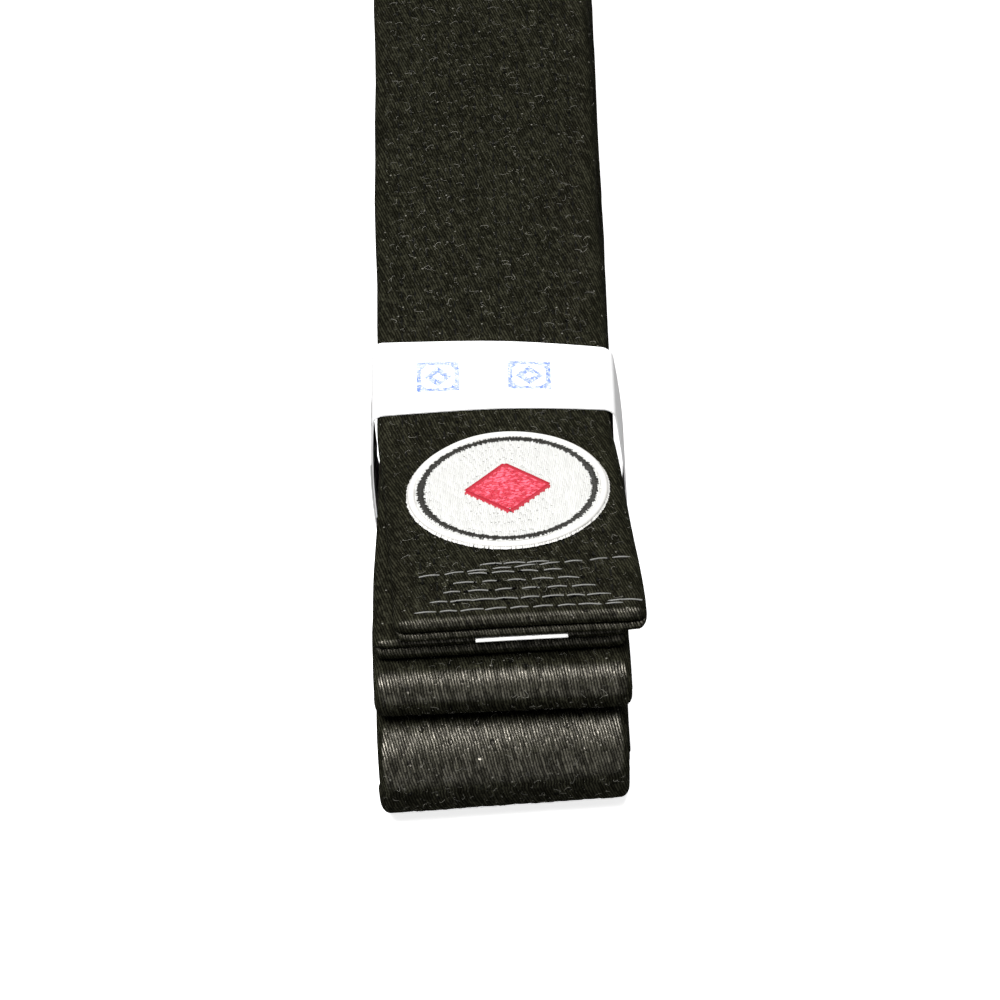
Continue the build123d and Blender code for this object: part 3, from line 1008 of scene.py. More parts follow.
def half_girths(x, half, thick):
    """Arc length of the section from the middle, for every column."""
    level = thick * edge_height(x, half)
    step = np.hypot(np.diff(x), np.diff(level))
    total = np.concatenate([[0], np.cumsum(step)])
    return total - total[len(total) // 2]


def mesh_object(name, points, faces, material, uv=None):
    """A mesh object from arrays; uv has one pair for each face corner."""
    mesh = bpy.data.meshes.new(name)
    mesh.from_pydata([tuple(p) for p in points], [], [tuple(int(i) for i in f) for f in faces])
    if uv is not None:
        layer = mesh.uv_layers.new(name="cloth")
        layer.data.foreach_set("uv", np.asarray(uv, np.float32).ravel())
    mesh.shade_smooth()
    mesh.materials.append(bpy.data.materials[material])
    mesh.validate()
    return shown(name, mesh)


def grid_faces(rows, columns, start=0, flip=False):
    """Quads of a grid of points."""
    i, j = np.meshgrid(np.arange(rows - 1), np.arange(columns - 1), indexing="ij")
    a = start + i * columns + j
    quads = np.stack([a, a + 1, a + columns + 1, a + columns], -1).reshape(-1, 4)
    return quads[:, ::-1] if flip else quads


def strap_piece(name, rings, first, last, tip_first, tip_last):
    """One closed stretch of the strap, with lips at a tip and a flat end elsewhere."""
    s = settings("strap")
    columns = section_columns()
    start, stop = first, last
    reach = s.corner + LIP_RUN
    if tip_first:
        start = int(np.searchsorted(rings["v"], rings["v"][first] + reach))
    if tip_last:
        stop = int(np.searchsorted(rings["v"], rings["v"][last] - reach))
    sides, x, v = sheet_points(rings, start, stop, columns)
    cut = slice(start, stop + 1)
    girth = np.array([half_girths(*row) for row in zip(x, rings["half"][cut], rings["thick"][cut])])
    us, vs = [girth, girth], [v, v]
    for wanted, index, direction in ((tip_first, first, 1), (tip_last, last, -1)):
        if not wanted:
            continue
        # Lips are added at the end of the arrays, which are turned about for the first tip.
        order = slice(None, None, -direction)
        for k, lip in enumerate(tip_points(rings, index, direction, columns)):
            side, u, v = sides[k][order], us[k][order], vs[k][order]
            extra = lip[::-1]
            walk = np.linalg.norm(np.diff(np.concatenate([side[-1:], extra]), axis=0), axis=2)
            lip_v = v[-1:] - direction * np.cumsum(walk, axis=0)
            sides[k] = np.concatenate([side, extra])[order]
            vs[k] = np.concatenate([v, lip_v])[order]
            us[k] = np.concatenate([u, np.repeat(u[-1:], len(extra), 0)])[order]
    rows, width = sides[0].shape[:2]
    points = np.concatenate([sides[0].reshape(-1, 3), sides[1].reshape(-1, 3)])
    top = grid_faces(rows, width)
    under = grid_faces(rows, width, rows * width, flip=True)
    corner = points[top[:, 0]]
    normal = np.cross(points[top[:, 1]] - corner, points[top[:, 3]] - corner)
    middle = len(top) // 2
    outward = rings["out"][(start + stop) // 2]
    if np.dot(normal[middle - width : middle + width].sum(0), outward) < 0:
        top, under = top[:, ::-1], under[:, ::-1]
    uv_top = np.stack([us[0].ravel()[top], vs[0].ravel()[top]], -1)
    whole = us[0][:, -1:]
    left_u, right_u = ((way * 2 * whole - us[1]).ravel() for way in (-1, 1))
    local = under - rows * width
    on_right = (local % width).min(1) >= width // 2
    u_under = np.where(on_right[:, None], right_u[local], left_u[local])
    uv_under = np.stack([u_under, vs[1].ravel()[local]], -1)
    uv = np.concatenate([uv_top.reshape(-1, 2), uv_under.reshape(-1, 2)])
    made = mesh_object(name, points, np.concatenate([top, under]), "black_satin", uv)
    weld = bmesh.new()
    weld.from_mesh(made.data)
    bmesh.ops.remove_doubles(weld, verts=weld.verts, dist=1e-6)
    open_edges = [e for e in weld.edges if e.is_boundary]
    loops = bmesh.ops.duplicate(weld, geom=open_edges)["geom"]
    rim = [e for e in loops if isinstance(e, bmesh.types.BMEdge)]
    caps = bmesh.ops.edgeloop_fill(weld, edges=rim)["faces"] if rim else []
    for face in caps:
        face.smooth = False
        if (face.normal.y < 0) == tip_first:
            face.normal_flip()
    weld.to_mesh(made.data)
    weld.free()
    return made


def finish_piece(piece, replaced=(), body=None):
    """Bind a piece to a body, if one is given, and hide the nodes it stands for."""
    if body:
        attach(piece, body)
    if replaced:
        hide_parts(*replaced)
    return piece


def hinge_blend(piece):
    """Bake a piece of the top layer's transform into its mesh and work out the ends of the line where the
    upper end lifts; nothing is bent.
    """
    s = settings("strap")
    level = float(layer_height(1, np.array(s.hinge_y)))
    centre = s.centre_x + s.hinge_offset
    start, end = (
        (centre - s.skew * away, s.hinge_y + away, level) for away in (HINGE_BEND, -HINGE_BEND / 2)
    )
    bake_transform(piece)
    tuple(start)
    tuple(end)


built = {}


def plies(prefix):
    """The names of the five plies of one stretch of the core."""
    return [f"{prefix}_{ply}" for ply in range(1, 6)]


class BELT_OT_strap(bpy.types.Operator):
    """Build the strap from the band round every fold to the lower tip"""

    bl_idname = "belt.build_strap"
    bl_label = "Build strap"

    def execute(self, context):
        rings = built["rings"]
        seam = built["seam"]
        piece = strap_piece("belt_strap", rings, seam, len(rings["v"]) - 1, False, True)
        finish_piece(piece, ["outer_cover", *plies("core_ply")], "belt")
        return {"FINISHED"}


class BELT_OT_upper_end(bpy.types.Operator):
    """Build the upper end of the strap, from its tip to the seam under the band"""

    bl_idname = "belt.build_upper_end"
    bl_label = "Build upper end"

    def execute(self, context):
        piece = strap_piece("upper_end_strap", built["rings"], 0, built["seam"], True, False)
        hinge_blend(piece)
        finish_piece(piece, ["upper_end_cover", *plies("upper_end_ply")])
        return {"FINISHED"}


def guide_mesh(name, lines):
    """A mesh of guide lines; each line is (points, lay directions, up directions)."""
    points, lays, ups, edges = [], [], [], []
    for line, lay, up in lines:
        start = len(points)
        points += [tuple(p) for p in line]
        lays.append(np.broadcast_to(lay, np.shape(line)))
        ups.append(np.broadcast_to(up, np.shape(line)))
        edges += [(start + i, start + i + 1) for i in range(len(line) - 1)]
    mesh = bpy.data.meshes.new(name)
    mesh.from_pydata(points, edges, [])
    for key, values in (("lay", lays), ("face_up", ups)):
        made = mesh.attributes.new(key, "FLOAT_VECTOR", "POINT")
        made.data.foreach_set("vector", np.concatenate(values).astype(np.float32).ravel())
    return mesh


def strap_line(x0, v0, x1, v1, step=0.0008, lift=0.0, face=1):
    """A guide line on the strap with threads laid along it."""
    pieces = max(2, math.ceil(math.hypot(x1 - x0, v1 - v0) / step))
    x, v = np.linspace(x0, x1, pieces + 1), np.linspace(v0, v1, pieces + 1)
    points, up = on_strap(built["rings"], x, v, lift, face)[:2]
    return points, unit(np.gradient(points, axis=0)), up


def threads(name, lines, material, **inputs):
    """Lay threads along guide lines as one mesh."""
    inputs["material"] = bpy.data.materials[material]
    return grown(name, guide_mesh(name, lines), "laid_threads", **inputs)


def joined(name, pieces):
    """Join mesh objects into the first one and name it."""
    with bpy.context.temp_override(active_object=pieces[0], selected_editable_objects=pieces):
        bpy.ops.object.join()
    pieces[0].name = name
    return pieces[0]


class BELT_OT_stitching(bpy.types.Operator):
    """Sew the rows of thread on both ends and along the top layer"""

    bl_idname = "belt.build_stitching"
    bl_label = "Build stitching"

    def execute(self, context):
        s, t, p = settings("strap"), settings("thread"), settings("patch")
        rings, total = built["rings"], built["rings"]["v"][-1]
        legs = s.first_row + s.row_pitch * np.arange(s.row_count)
        crosses = s.first_cross_row + s.cross_row_pitch * np.arange(s.row_count)
        seam_v = rings["v"][built["seam"]]
        stitch = {"spacing": t.spacing, "thread_length": t.stitch, "thread_radius": t.radius}
        sunk = {**stitch, "thread_length": t.sunk_stitch, "arch": 0.00001, "sink": 0.00016}
        sunk["length_jitter"] = 0.5
        cross_lines, leg_lines = [], []
        for row, (leg, cross) in enumerate(zip(legs[::-1], crosses)):
            if row < s.row_count - 1:
                cross_lines.append(strap_line(-leg, cross, leg, cross - 0.0002))
            for side in (-1, 1):
                room = self.patch_room(side * leg, p)
                for low, high in self.gaps(cross, seam_v, room):
                    leg_lines.append(strap_line(side * leg, low, side * leg, high))
        slanting, short = (-0.0141, 0.0124, 0.0175, 0.0144), (0.0162, 0.003, 0.0181, 0.003)
        cross_lines += [strap_line(*slanting), strap_line(*short, step=0.0019)]
        laid = {**stitch, "arch": 0.0002, "sink": 0.00016, "length_jitter": 0.2, "turn_jitter": 0.1}
        cross = threads("upper_end_rows", cross_lines, "row_thread", seed=11, **laid)
        # Painted shade: short black stubs along the cross rows, where the needle holes are.
        holes = [[part[len(part) // 8 :] for part in line] for line in cross_lines]
        hole_shade_sizes = {"spacing": t.spacing, "thread_length": 0.0006, "thread_radius": 0.00024}
        hole_shade_sizes.update(arch=0.0, sink=0.00026, length_jitter=0.4, turn_jitter=0.6)
        hole_shade_stubs = threads("painted_hole_shade_stubs", holes, "painted_hole_shade", seed=15, **hole_shade_sizes)
        lengthwise = threads("upper_end_legs", leg_lines, "thread_with_painted_shade", seed=12, **sunk)
        upper = joined("upper_end_threads", [cross, lengthwise, hole_shade_stubs])
        hinge_blend(upper)
        finish_piece(upper, ["upper_end_stitching"])
        back_v = rings["v"][built["first_fold"]]
        places = [side * leg for leg in legs for side in (-1, 1)]
        rows = [strap_line(x, seam_v, x, back_v, 0.003) for x in places]
        row_piece = threads("row_threads", rows, "thread_with_painted_shade", seed=13, **sunk)
        finish_piece(row_piece, ["row_stitching"], "belt")
        lower = []
        for leg, cross in zip(legs[::-1], total - crosses):
            lower.append(strap_line(-leg, cross, leg, cross, face=-1))
            for side in (-1, 1):
                lower.append(strap_line(side * leg, cross, side * leg, total - 0.045, face=-1))
        low_piece = threads("lower_end_threads", lower, "thread_with_painted_shade", seed=14, **sunk)
        finish_piece(low_piece, ["lower_end_stitching"], "belt")
        return {"FINISHED"}

    @staticmethod
    def patch_room(x, p):
        """The stretch of a lengthwise row that the patch covers."""
        reach = p.radius + 0.0003
        away = abs(x - p.offset)
        if away >= reach:
            return None
        span = math.sqrt(reach**2 - away**2)
        return p.setback - span, p.setback + span

    @staticmethod
    def gaps(low, high, room):
        """What is left of low..high without the covered stretch."""
        if room is None:
            return [(low, high)]
        kept = [(low, room[0]), (room[1], high)]
        return [(a, b) for a, b in kept if b - a > 0.003]


def patch_point(a, b, lift):
    """A point of the patch, a across and b toward the tip from its middle."""
    p = settings("patch")
    return on_strap(built["rings"], p.offset + np.asarray(a), p.setback - np.asarray(b), lift)


def patch_line(a, b, lift, lay):
    """A guide on the patch, with threads laid 'along' it or 'across' it."""
    points, up = patch_point(a, b, lift)[:2]
    along = unit(np.gradient(points, axis=0))
    return points, along if lay == "along" else np.cross(up, along), up


def circle(radius, pieces):
    """Points round a circle, the first one again at the end."""
    turn = np.linspace(0, math.tau, pieces + 1)
    return radius * np.cos(turn), radius * np.sin(turn)


def inside_runs(low, high, keep, step=0.00005):
    """Stretches of low..high where keep(values) holds."""
    values = np.arange(low, high, step)
    mask = np.concatenate([[False], keep(values), [False]])
    starts = np.flatnonzero(~mask[:-1] & mask[1:])
    stops = np.flatnonzero(mask[:-1] & ~mask[1:])
    return [(values[i], values[j - 1]) for i, j in zip(starts, stops) if j - i > 6]


def disc_mesh(name, radius, low, high, material):
    """A closed round plate that follows the upper end's face."""
    rings = [(radius * k / 6, low) for k in range(7)]
    rings += [(radius * k / 6, high) for k in range(6, -1, -1)]
    turn = np.linspace(0, math.tau, 97)[:-1]
    points, faces = [], []
    for r, lift in rings:
        around = turn if r else turn[:1]
        points += list(patch_point(r * np.cos(around), r * np.sin(around), lift)[0])
    n, last = len(turn), len(points) - 1
    for a in range(1, last - n, n):
        faces += [(a + i, a + n + i, a + n + (i + 1) % n, a + (i + 1) % n) for i in range(n)]
    faces += [(0, 1 + i, 1 + (i + 1) % n) for i in range(n)]
    faces += [(last, last - n + (i + 1) % n, last - n + i) for i in range(n)]
    return mesh_object(name, points, faces, material)


def loop_faces(loops, size, closed=False):
    """Quads between loops of points; closed joins the last loop to the first."""
    faces = []
    for k in range(loops if closed else loops - 1):
        a, b = k * size, (k + 1) % loops * size
        for i in range(size):
            faces.append((a + i, a + (i + 1) % size, b + (i + 1) % size, b + i))
    return faces


def facing_out(piece):
    """Make the faces of a closed mesh face outward."""
    shell = bmesh.new()
    shell.from_mesh(piece.data)
    bmesh.ops.recalc_face_normals(shell, faces=shell.faces)
    shell.to_mesh(piece.data)
    shell.free()
    return piece


class BELT_OT_patch(bpy.types.Operator):
    """Build the round patch: ground cloth, merrowed border, ring, field and diamond"""

    bl_idname = "belt.build_patch"
    bl_label = "Build patch"

    def execute(self, context):
        p = settings("patch")
        ground_radius = p.radius - p.border_width * 0.5
        ground = facing_out(disc_mesh("patch_ground", ground_radius, 0.00002, p.ground, "patch_ground"))
        finish_piece(ground, ["patch_backing"], "upper_end")
        self.border(p)
        self.ring(p)
        self.field(p)
        self.motif(p)
        return {"FINISHED"}

    @staticmethod
    def border(p):
        """White threads wrapped over the rim, side by side."""
        middle = p.radius - p.border_width / 2
        line = patch_line(*circle(middle, 240), p.border_height / 2, "across")
        wraps = threads(
            "patch_edge", [line], "white_embroidery", spacing=0.00036, thread_length=p.border_width * 1.04,
            thread_radius=0.00023, arch=0.00062, sink=0.0005, length_jitter=0.09, turn_jitter=0.16, seed=21,
        )
        core = BELT_OT_patch.tube("patch_edge_core", middle, p.border_width * 0.46, 0.0005, 0.00055)
        finish_piece(joined("patch_edge", [wraps, core]), ["patch_border"], "upper_end")

    @staticmethod
    def tube(name, radius, half_width, middle, half_height):
        """A closed ring of oval section that fills the border."""
        turn, around = np.linspace(0, math.tau, 145)[:-1], np.linspace(0, math.tau, 13)[:-1]
        points = []
        for angle in around:
            r = radius + half_width * math.cos(angle)
            lift = middle + half_height * math.sin(angle)
            points += list(patch_point(r * np.cos(turn), r * np.sin(turn), lift)[0])
        faces = loop_faces(len(around), len(turn), closed=True)
        return facing_out(mesh_object(name, points, faces, "white_embroidery"))

    @staticmethod
    def ring(p):
        """A dark satin line with uneven thread ends."""
        middle = p.radius - p.border_width - p.ring_inset - p.ring_width / 2
        line = patch_line(*circle(middle, 240), p.ground + 0.0003, "across")
        made = threads(
            "patch_line", [line], "black_embroidery", spacing=0.0002, thread_length=p.ring_width,
            thread_radius=0.00015, arch=0.0003, sink=0.00012, length_jitter=0.42, turn_jitter=0.3, seed=22,
        )
        finish_piece(made, ["patch_ring"], "upper_end")

    @staticmethod
    def field(p):
        """Lines of fine white stitches between the border, the ring and the diamond."""
        outer = p.radius - p.border_width
        ring_out = outer - p.ring_inset
        ring_in = ring_out - p.ring_width
        lines = []
        for k, a in enumerate(np.arange(-outer + 0.0003, outer, p.stitch_pitch)):
            def keep(b, a=a):
                r = np.hypot(a, b)
                clear = (r < outer - 0.0001) & ((r > ring_out) | (r < ring_in + 0.0001))
                return clear & (abs(a) + np.abs(b) > p.motif_reach + 0.0002)
            for low, high in inside_runs(-outer, outer, keep):
                b = np.linspace(low + 0.0007 * (k % 3) * min(1, (high - low) / 0.004), high, 24)
                lines.append(patch_line(np.full(24, a), b, p.ground + 0.00009, "along"))
        made = threads(
            "patch_fill", lines, "field_embroidery", spacing=0.0021, thread_length=0.0024,
            thread_radius=0.00021, arch=0.00012, sink=0.00002, length_jitter=0.12, turn_jitter=0.04, seed=23,
        )
        finish_piece(made, ["patch_field"], "upper_end")

    @staticmethod
    def motif(p):
        """A red diamond of short stitches with a darker satin rim."""
        reach = p.motif_reach - p.motif_rim * 1.3
        lines = []
        for k, b in enumerate(np.arange(-reach + 0.0002, reach, 0.00026)):
            span = reach - abs(b)
            if span > 0.0003:
                a = np.linspace(-span + 0.0003 * (k % 3) * min(1, span / 0.002), span, 20)
                lines.append(patch_line(a, np.full(20, b), p.ground + 0.00022, "along"))
        fill = threads(
            "patch_diamond", lines, "red_embroidery", spacing=0.00052, thread_length=0.00075,
            thread_radius=0.00015, arch=0.00018, sink=0.00008, length_jitter=0.3, turn_jitter=0.7, seed=24,
        )
        middle = p.motif_reach - p.motif_rim * 0.6
        corner = np.array([(1, 0), (0, 1), (-1, 0), (0, -1), (1, 0)]) * middle
        rim = []
        for start, stop in zip(corner[:-1], corner[1:]):
            t = np.linspace(0.02, 0.98, 40)[:, None]
            path = start + (stop - start) * t
            rim.append(patch_line(path[:, 0], path[:, 1], p.ground + 0.00036, "across"))
        edge = threads(
            "patch_rim", rim, "red_rim_embroidery", spacing=0.00016, thread_length=p.motif_rim * 1.15,
            thread_radius=0.00014, arch=0.00026, sink=0.00028, length_jitter=0.04, turn_jitter=0.04, seed=25,
        )
        finish_piece(joined("patch_diamond", [fill, edge]), ["patch_motif"], "upper_end")


class BELT_OT_label(bpy.types.Operator):
    """Build the folded size label under the upper end"""

    bl_idname = "belt.build_label"
    bl_label = "Build label"

    def execute(self, context):
        p = settings("patch")
        leaf, gap, depth = p.label_leaf, 0.00006, p.label_length
        fold = leaf + gap / 2
        turn = np.linspace(math.pi / 2, -math.pi / 2, 9)
        outline = []
        for radius, angles in ((fold, turn), (gap / 2, turn[::-1])):
            start, stop = (-fold + radius * math.sin(angles[end]) for end in (0, -1))
            outline += [(depth, start), (depth / 2, start)]
            for a in angles:
                outline.append((fold - 0.0003 - radius * math.cos(a), -fold + radius * math.sin(a)))
            outline += [(depth / 2, stop), (depth, stop)]
        outline = np.array(outline)
        across = np.linspace(-p.label_width / 2, p.label_width / 2, 13)
        points = []
        for x in across:
            v = np.maximum(outline[:, 0], 0)
            base, up, at = on_strap(built["rings"], np.full(len(v), x), v, 0.00003, -1)
            before = at["forward"] * (v - outline[:, 0])[:, None]
            points += list(base - up * outline[:, 1:] - before)
        n = len(outline)
        faces = loop_faces(len(across), n)
        half = n // 2
        for k in (0, len(across) - 1):
            faces += [
                (k * n + i, k * n + i + 1, k * n + n - 2 - i, k * n + n - 1 - i) for i in range(half - 1)
            ]
        label = facing_out(mesh_object("label", points, faces, "label_cloth"))
        finish_piece(label, ["size_label"], "upper_end")
        seam_v = depth - 0.002
        row = strap_line(-0.0066, seam_v, 0.0066, seam_v, lift=2 * fold + 0.00005, face=-1)
        seam = threads(
            "label_stitches", [row], "white_embroidery", spacing=0.0021, thread_length=0.0016,
            thread_radius=0.00009, arch=0.00006, sink=0.00005, seed=31,
        )
        finish_piece(seam, ["label_seam"], "upper_end")
        return {"FINISHED"}


def band_outline(offset):
    """The band's section from its inner end over the top and back to the lapped outer end."""
    s, b = settings("strap"), settings("band")
    slim_top = s.belly_rise + 8 * s.thickness + 7 * s.slim_gap
    top = slim_top + b.clearance
    low = b.bottom
    middle = (low + top) / 2

    def half_at(z):
        share = np.clip((z - low) / (top - low), 0, 1)
        return b.top_half + b.bulge * np.sin(math.pi * share) ** 0.8 + 0.00045 * (1 - share)

    def side(z0, z1, sign, pieces):
        z = np.linspace(z0, z1, pieces)
        return np.stack([sign * half_at(z), z], 1)

    def corner(cx, cz, r, a0, a1):
        a = np.radians(np.linspace(a0, a1, 9))
        return np.stack([cx + r * np.cos(a), cz + r * np.sin(a)], 1)

    r, q = b.corner, b.bottom_corner
    x_top, x_low = half_at(top - r), half_at(low + q)
    across = np.linspace(-x_top + r, x_top - r, 33)[1:-1]
    crowned = np.stack([across, top + s.crown * (1 - (across / (x_top - r)) ** 2)], 1)
    path = [side(b.lap_low + 0.0004, top - r, -1, 14)]
    path += [corner(-x_top + r, top - r, r, 180, 90)[1:], crowned, corner(x_top - r, top - r, r, 90, 0)]
    path += [side(top - r, low + q, 1, 18)[1:], corner(x_low - q, low + q, q, 0, -90)[1:]]
    path += [np.stack([np.linspace(x_low - q, -x_low + q, 21)[1:], np.full(20, low)], 1)]
    path += [corner(-x_low + q, low + q, q, -90, -180)[1:]]
    lap = side(low + q, b.lap_high, -1, 16)[1:]
    rise = np.clip((lap[:, 1] - low - q) / (b.lap_low - low - q - 0.0006), 0, 1)
    lap[:, 0] -= (b.paper + b.glue) * rise * rise * (3 - 2 * rise)
    line = np.concatenate(path + [lap])
    step = np.linalg.norm(np.diff(line, axis=0), axis=1)
    place = np.concatenate([[0], np.cumsum(step)])
    tangent = unit(np.gradient(line, place, axis=0))
    outward = np.stack([-tangent[:, 1], tangent[:, 0]], 1)
    start = place[np.argmin(np.abs(line[:, 0]) + 10 * (line[:, 1] < middle))]
    return line + outward * offset, place - start


class BELT_OT_band(bpy.types.Operator):
    """Build the paper band and the glue of its lap"""

    bl_idname = "belt.build_band"
    bl_label = "Build band"

    def execute(self, context):
        s, b = settings("strap"), settings("band")
        inside, place = band_outline(0.0)
        outside = band_outline(b.paper)[0]
        along = np.linspace(-b.width / 2, b.width / 2, 9)
        n, m = len(place), len(along)
        points, uv_at = [], []
        for line in (outside, inside):
            for t in along:
                x = line[:, 0] + s.centre_x
                flare = 0.00012 * (2 * abs(t) / b.width) ** 3
                aslant = (b.skew - b.taper * 2 * t / b.width) * line[:, 0]
                y = b.middle_y + t + aslant + 0.00012 * np.sin(place * 190 + 1)
                z = line[:, 1] + flare * (line[:, 1] > 0.03)
                points += list(np.stack([x, y, z], 1))
                uv_at += [(u, t) for u in place]
        back = n * m
        faces = [tuple(f) for grid in (grid_faces(m, n), grid_faces(m, n, back, flip=True)) for f in grid]
        for k in range(n - 1):
            faces.append((k, k + 1, back + k + 1, back + k))
            a = (m - 1) * n + k
            faces.append((a + 1, a, back + a, back + a + 1))
        for j in range(m - 1):
            a, c = j * n, j * n + n - 1
            faces.append((a + n, a, back + a, back + a + n))
            faces.append((c, c + n, back + c + n, back + c))
        uv = [uv_at[i] for f in faces for i in f]
        band = facing_out(mesh_object("paper_band_wrap", points, faces, "white_paper", uv))
        band.data.set_sharp_from_angle(angle=math.radians(50))
        finish_piece(band, ["paper_band"], "band")
        self.glue(s, b, inside)
        return {"FINISHED"}

    @staticmethod
    def glue(s, b, inside):
        """A thin film between the two ends of the strip."""
        z = np.linspace(b.lap_low + 0.0016, b.lap_high - 0.001, 8)
        x_in = np.interp(z, inside[:14, 1], inside[:14, 0]) - b.paper
        points, faces = [], []
        for offset in (0.0, -b.glue):
            for t in (-0.45 * b.width, 0.45 * b.width):
                for x, height in zip(x_in + offset, z):
                    points.append((x + s.centre_x, b.middle_y + t + b.skew * x, height))
        n = len(z)
        for k in range(n - 1):
            faces += [(k, k + 1, n + k + 1, n + k), (2 * n + k, 3 * n + k, 3 * n + k + 1, 2 * n + k + 1)]
            faces += [(k, 2 * n + k, 2 * n + k + 1, k + 1), (n + k, n + k + 1, 3 * n + k + 1, 3 * n + k)]
        faces += [(0, n, 3 * n, 2 * n), (n - 1, 3 * n - 1, 4 * n - 1, 2 * n - 1)]
        film = facing_out(mesh_object("band_glue_film", points, faces, "dried_glue"))
        finish_piece(film, ["band_glue"], "band")


def exposed_mesh(name, v_low, v_high, reach=0.0195, step=0.002):
    """A carrier sheet on the strap, marked as exposed, for scattering lint."""
    rows = max(2, int((v_high - v_low) / step))
    columns = 21
    grid = np.linspace(v_low, v_high, rows), np.linspace(-reach, reach, columns)
    v, x = np.meshgrid(*grid, indexing="ij")
    points = on_strap(built["rings"], x, v, 0.00001)[0].reshape(-1, 3)
    mesh = bpy.data.meshes.new(name)
    mesh.from_pydata(points.tolist(), [], grid_faces(rows, columns).tolist())
    marks = mesh.attributes.new("exposed", "FLOAT", "POINT")
    marks.data.foreach_set("value", np.ones(len(points), np.float32))
    return mesh


class BELT_OT_lint(bpy.types.Operator):
    """Scatter pale lint on the cloth that lies open"""

    bl_idname = "belt.build_lint"
    bl_label = "Build lint"

    def execute(self, context):
        t, rings = settings("thread"), built["rings"]
        fibre = {"fibre_length": t.lint_length, "fibre_radius": t.lint_radius, "density": t.lint_density}
        fibre["material"] = bpy.data.materials["lint"]
        seam_v = rings["v"][built["seam"]]
        carrier = exposed_mesh("open_cloth", 0.003, seam_v)
        upper = grown("lint_upper_end", carrier, "lint_scatter", seed=41, **fibre)
        hinge_blend(upper)
        back_v = rings["v"][built["first_fold"]]
        stretches = [(seam_v, back_v)]
        layer, y = rings["layer"], rings["place"][:, 1]
        for a, b in ((8, 5), (4, 3)):
            near = np.flatnonzero(np.isin(layer, (a, b)) & (y < settings("strap").front + 0.012))
            stretches.append((rings["v"][near[0]], rings["v"][near[-1]]))
        pieces = []
        for k, (low, high) in enumerate(stretches):
            carrier = exposed_mesh("open_cloth", low, high, step=0.0006 if k else 0.004)
            pieces.append(grown(f"lint_{k}", carrier, "lint_scatter", seed=42 + k, **fibre))
        finish_piece(joined("lint_belt", pieces), body="belt")
        return {"FINISHED"}


CAMERA_PLACE = (0.02404, -0.85683, 0.67442)
CAMERA_RIGHT = Vector((0.998, -0.01915, -0.06025))
CAMERA_UP = Vector((0.05797, 0.65739, 0.75132))
KEY_DISTANCE, KEY_LIFT = 1.3, math.radians(74)
FLOOR_HALF = 6.0
FLOOR_SEEN, FLOOR_MIRRORED = (0.9,) * 3, (0.35,) * 3


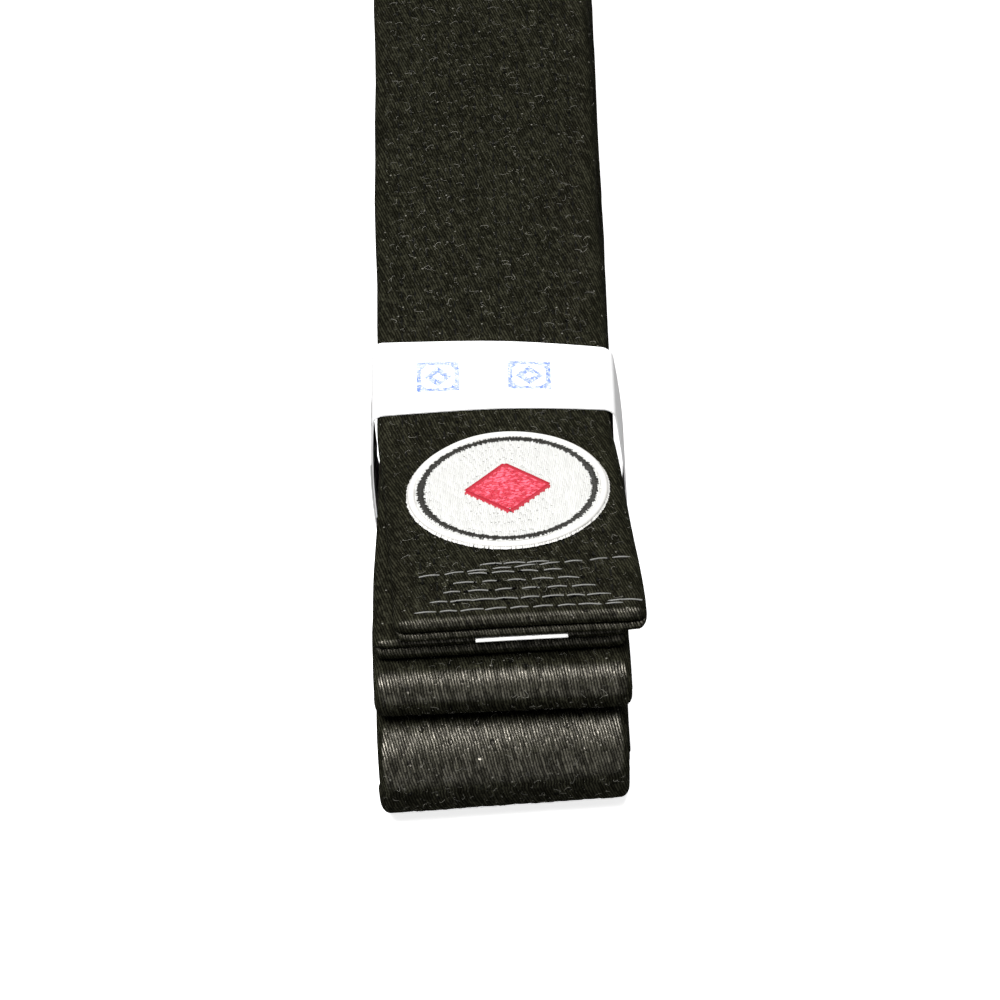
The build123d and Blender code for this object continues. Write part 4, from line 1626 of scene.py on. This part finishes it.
class BELT_OT_stage(bpy.types.Operator):
    """Set the floor, the light and the camera"""

    bl_idname = "belt.build_stage"
    bl_label = "Build stage"

    def execute(self, context):
        g = settings("stage")
        scene = context.scene
        camera = shown("camera", bpy.data.cameras.new("camera"))
        camera.data.lens = g.focal
        camera.data.sensor_width = 36
        camera.data.clip_start = 0.05
        camera.data.clip_end = 20
        turn = Matrix((CAMERA_RIGHT, CAMERA_UP, CAMERA_RIGHT.cross(CAMERA_UP))).transposed()
        camera.matrix_world = Matrix.Translation(CAMERA_PLACE) @ turn.to_4x4()
        scene.camera = camera
        signs = ((-1, -1), (1, -1), (1, 1), (-1, 1))
        corners = [(x * FLOOR_HALF, y * FLOOR_HALF, -0.0001) for x, y in signs]
        tree, shader = new_material("floor", FLOOR_SEEN, 0.9, 0.1)
        shader.inputs["Emission Color"].default_value = (1, 1, 1, 1)
        seen = node(tree, "ShaderNodeLightPath", out="Is Camera Ray")
        connect(blend_colour(seen, FLOOR_MIRRORED, FLOOR_SEEN), shader.inputs["Base Color"])
        connect(seen * g.floor_glow, shader.inputs["Emission Strength"])
        floor = mesh_object("floor", corners, [(0, 1, 2, 3)], "floor")
        world = bpy.data.worlds.new("studio")
        world.use_nodes = True
        sky = world.node_tree.nodes["Background"].inputs
        sky["Color"].default_value = (1, 1, 1, 1)
        sky["Strength"].default_value = g.world_strength
        scene.world = world
        light = bpy.data.lights.new("key", "AREA")
        light.shape = "RECTANGLE"
        light.size, light.size_y = 0.95, 0.7
        light.energy = g.key_power
        key = shown("key", light)
        aim = Vector((0, -0.1, 0.02))
        along, up = KEY_DISTANCE * math.cos(KEY_LIFT), KEY_DISTANCE * math.sin(KEY_LIFT)
        key.location = (-0.15, aim.y - along, up)
        toward = aim - key.location
        key.rotation_euler = toward.to_track_quat("-Z", "Y").to_euler()
        scene.view_settings.view_transform = "Standard"
        scene.view_settings.look = "None"
        return {"FINISHED"}


PIECES = (
    BELT_OT_strap,
    BELT_OT_upper_end,
    BELT_OT_stitching,
    BELT_OT_patch,
    BELT_OT_label,
    BELT_OT_band,
    BELT_OT_lint,
    BELT_OT_stage,
)


class BELT_PT_panel(bpy.types.Panel):
    """Sizes, colours and build buttons"""

    bl_idname = "BELT_PT_panel"
    bl_label = "Folded belt"
    bl_space_type = "VIEW_3D"
    bl_region_type = "UI"
    bl_category = "Belt"

    def draw(self, context):
        for operator in PIECES:
            self.layout.operator(operator.bl_idname)
        for name, group in GROUPS.items():
            box = self.layout.box()
            box.label(text=group.__doc__)
            for key in group.__annotations__:
                box.prop(settings(name), key)


def register():
    for group in (*GROUPS.values(), *PIECES, BELT_PT_panel):
        bpy.utils.register_class(group)
    for name, group in GROUPS.items():
        setattr(bpy.types.Scene, "belt_" + name, bpy.props.PointerProperty(type=group))


def unregister():
    for name in GROUPS:
        delattr(bpy.types.Scene, "belt_" + name)
    for group in reversed((*GROUPS.values(), *PIECES, BELT_PT_panel)):
        bpy.utils.unregister_class(group)


def main():
    """Load the frame and build every piece."""
    for item in list(bpy.data.objects):
        bpy.data.objects.remove(item)
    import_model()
    register()
    rings = strap_rings()
    seam_y = settings("strap").seam_y
    on_top = rings["layer"] == 1
    built["rings"] = rings
    make_materials()
    laid_threads_tree()
    lint_scatter_tree()
    built["seam"] = int(np.argmin(np.where(on_top, np.abs(rings["place"][:, 1] - seam_y), 9)))
    built["first_fold"] = int(np.flatnonzero(on_top & (rings["out"][:, 2] > 0.999))[-1])
    for operator in PIECES:
        step = operator.bl_idname.split(".")[1]
        getattr(bpy.ops.belt, step)()


if __name__ == "__main__":
    main()
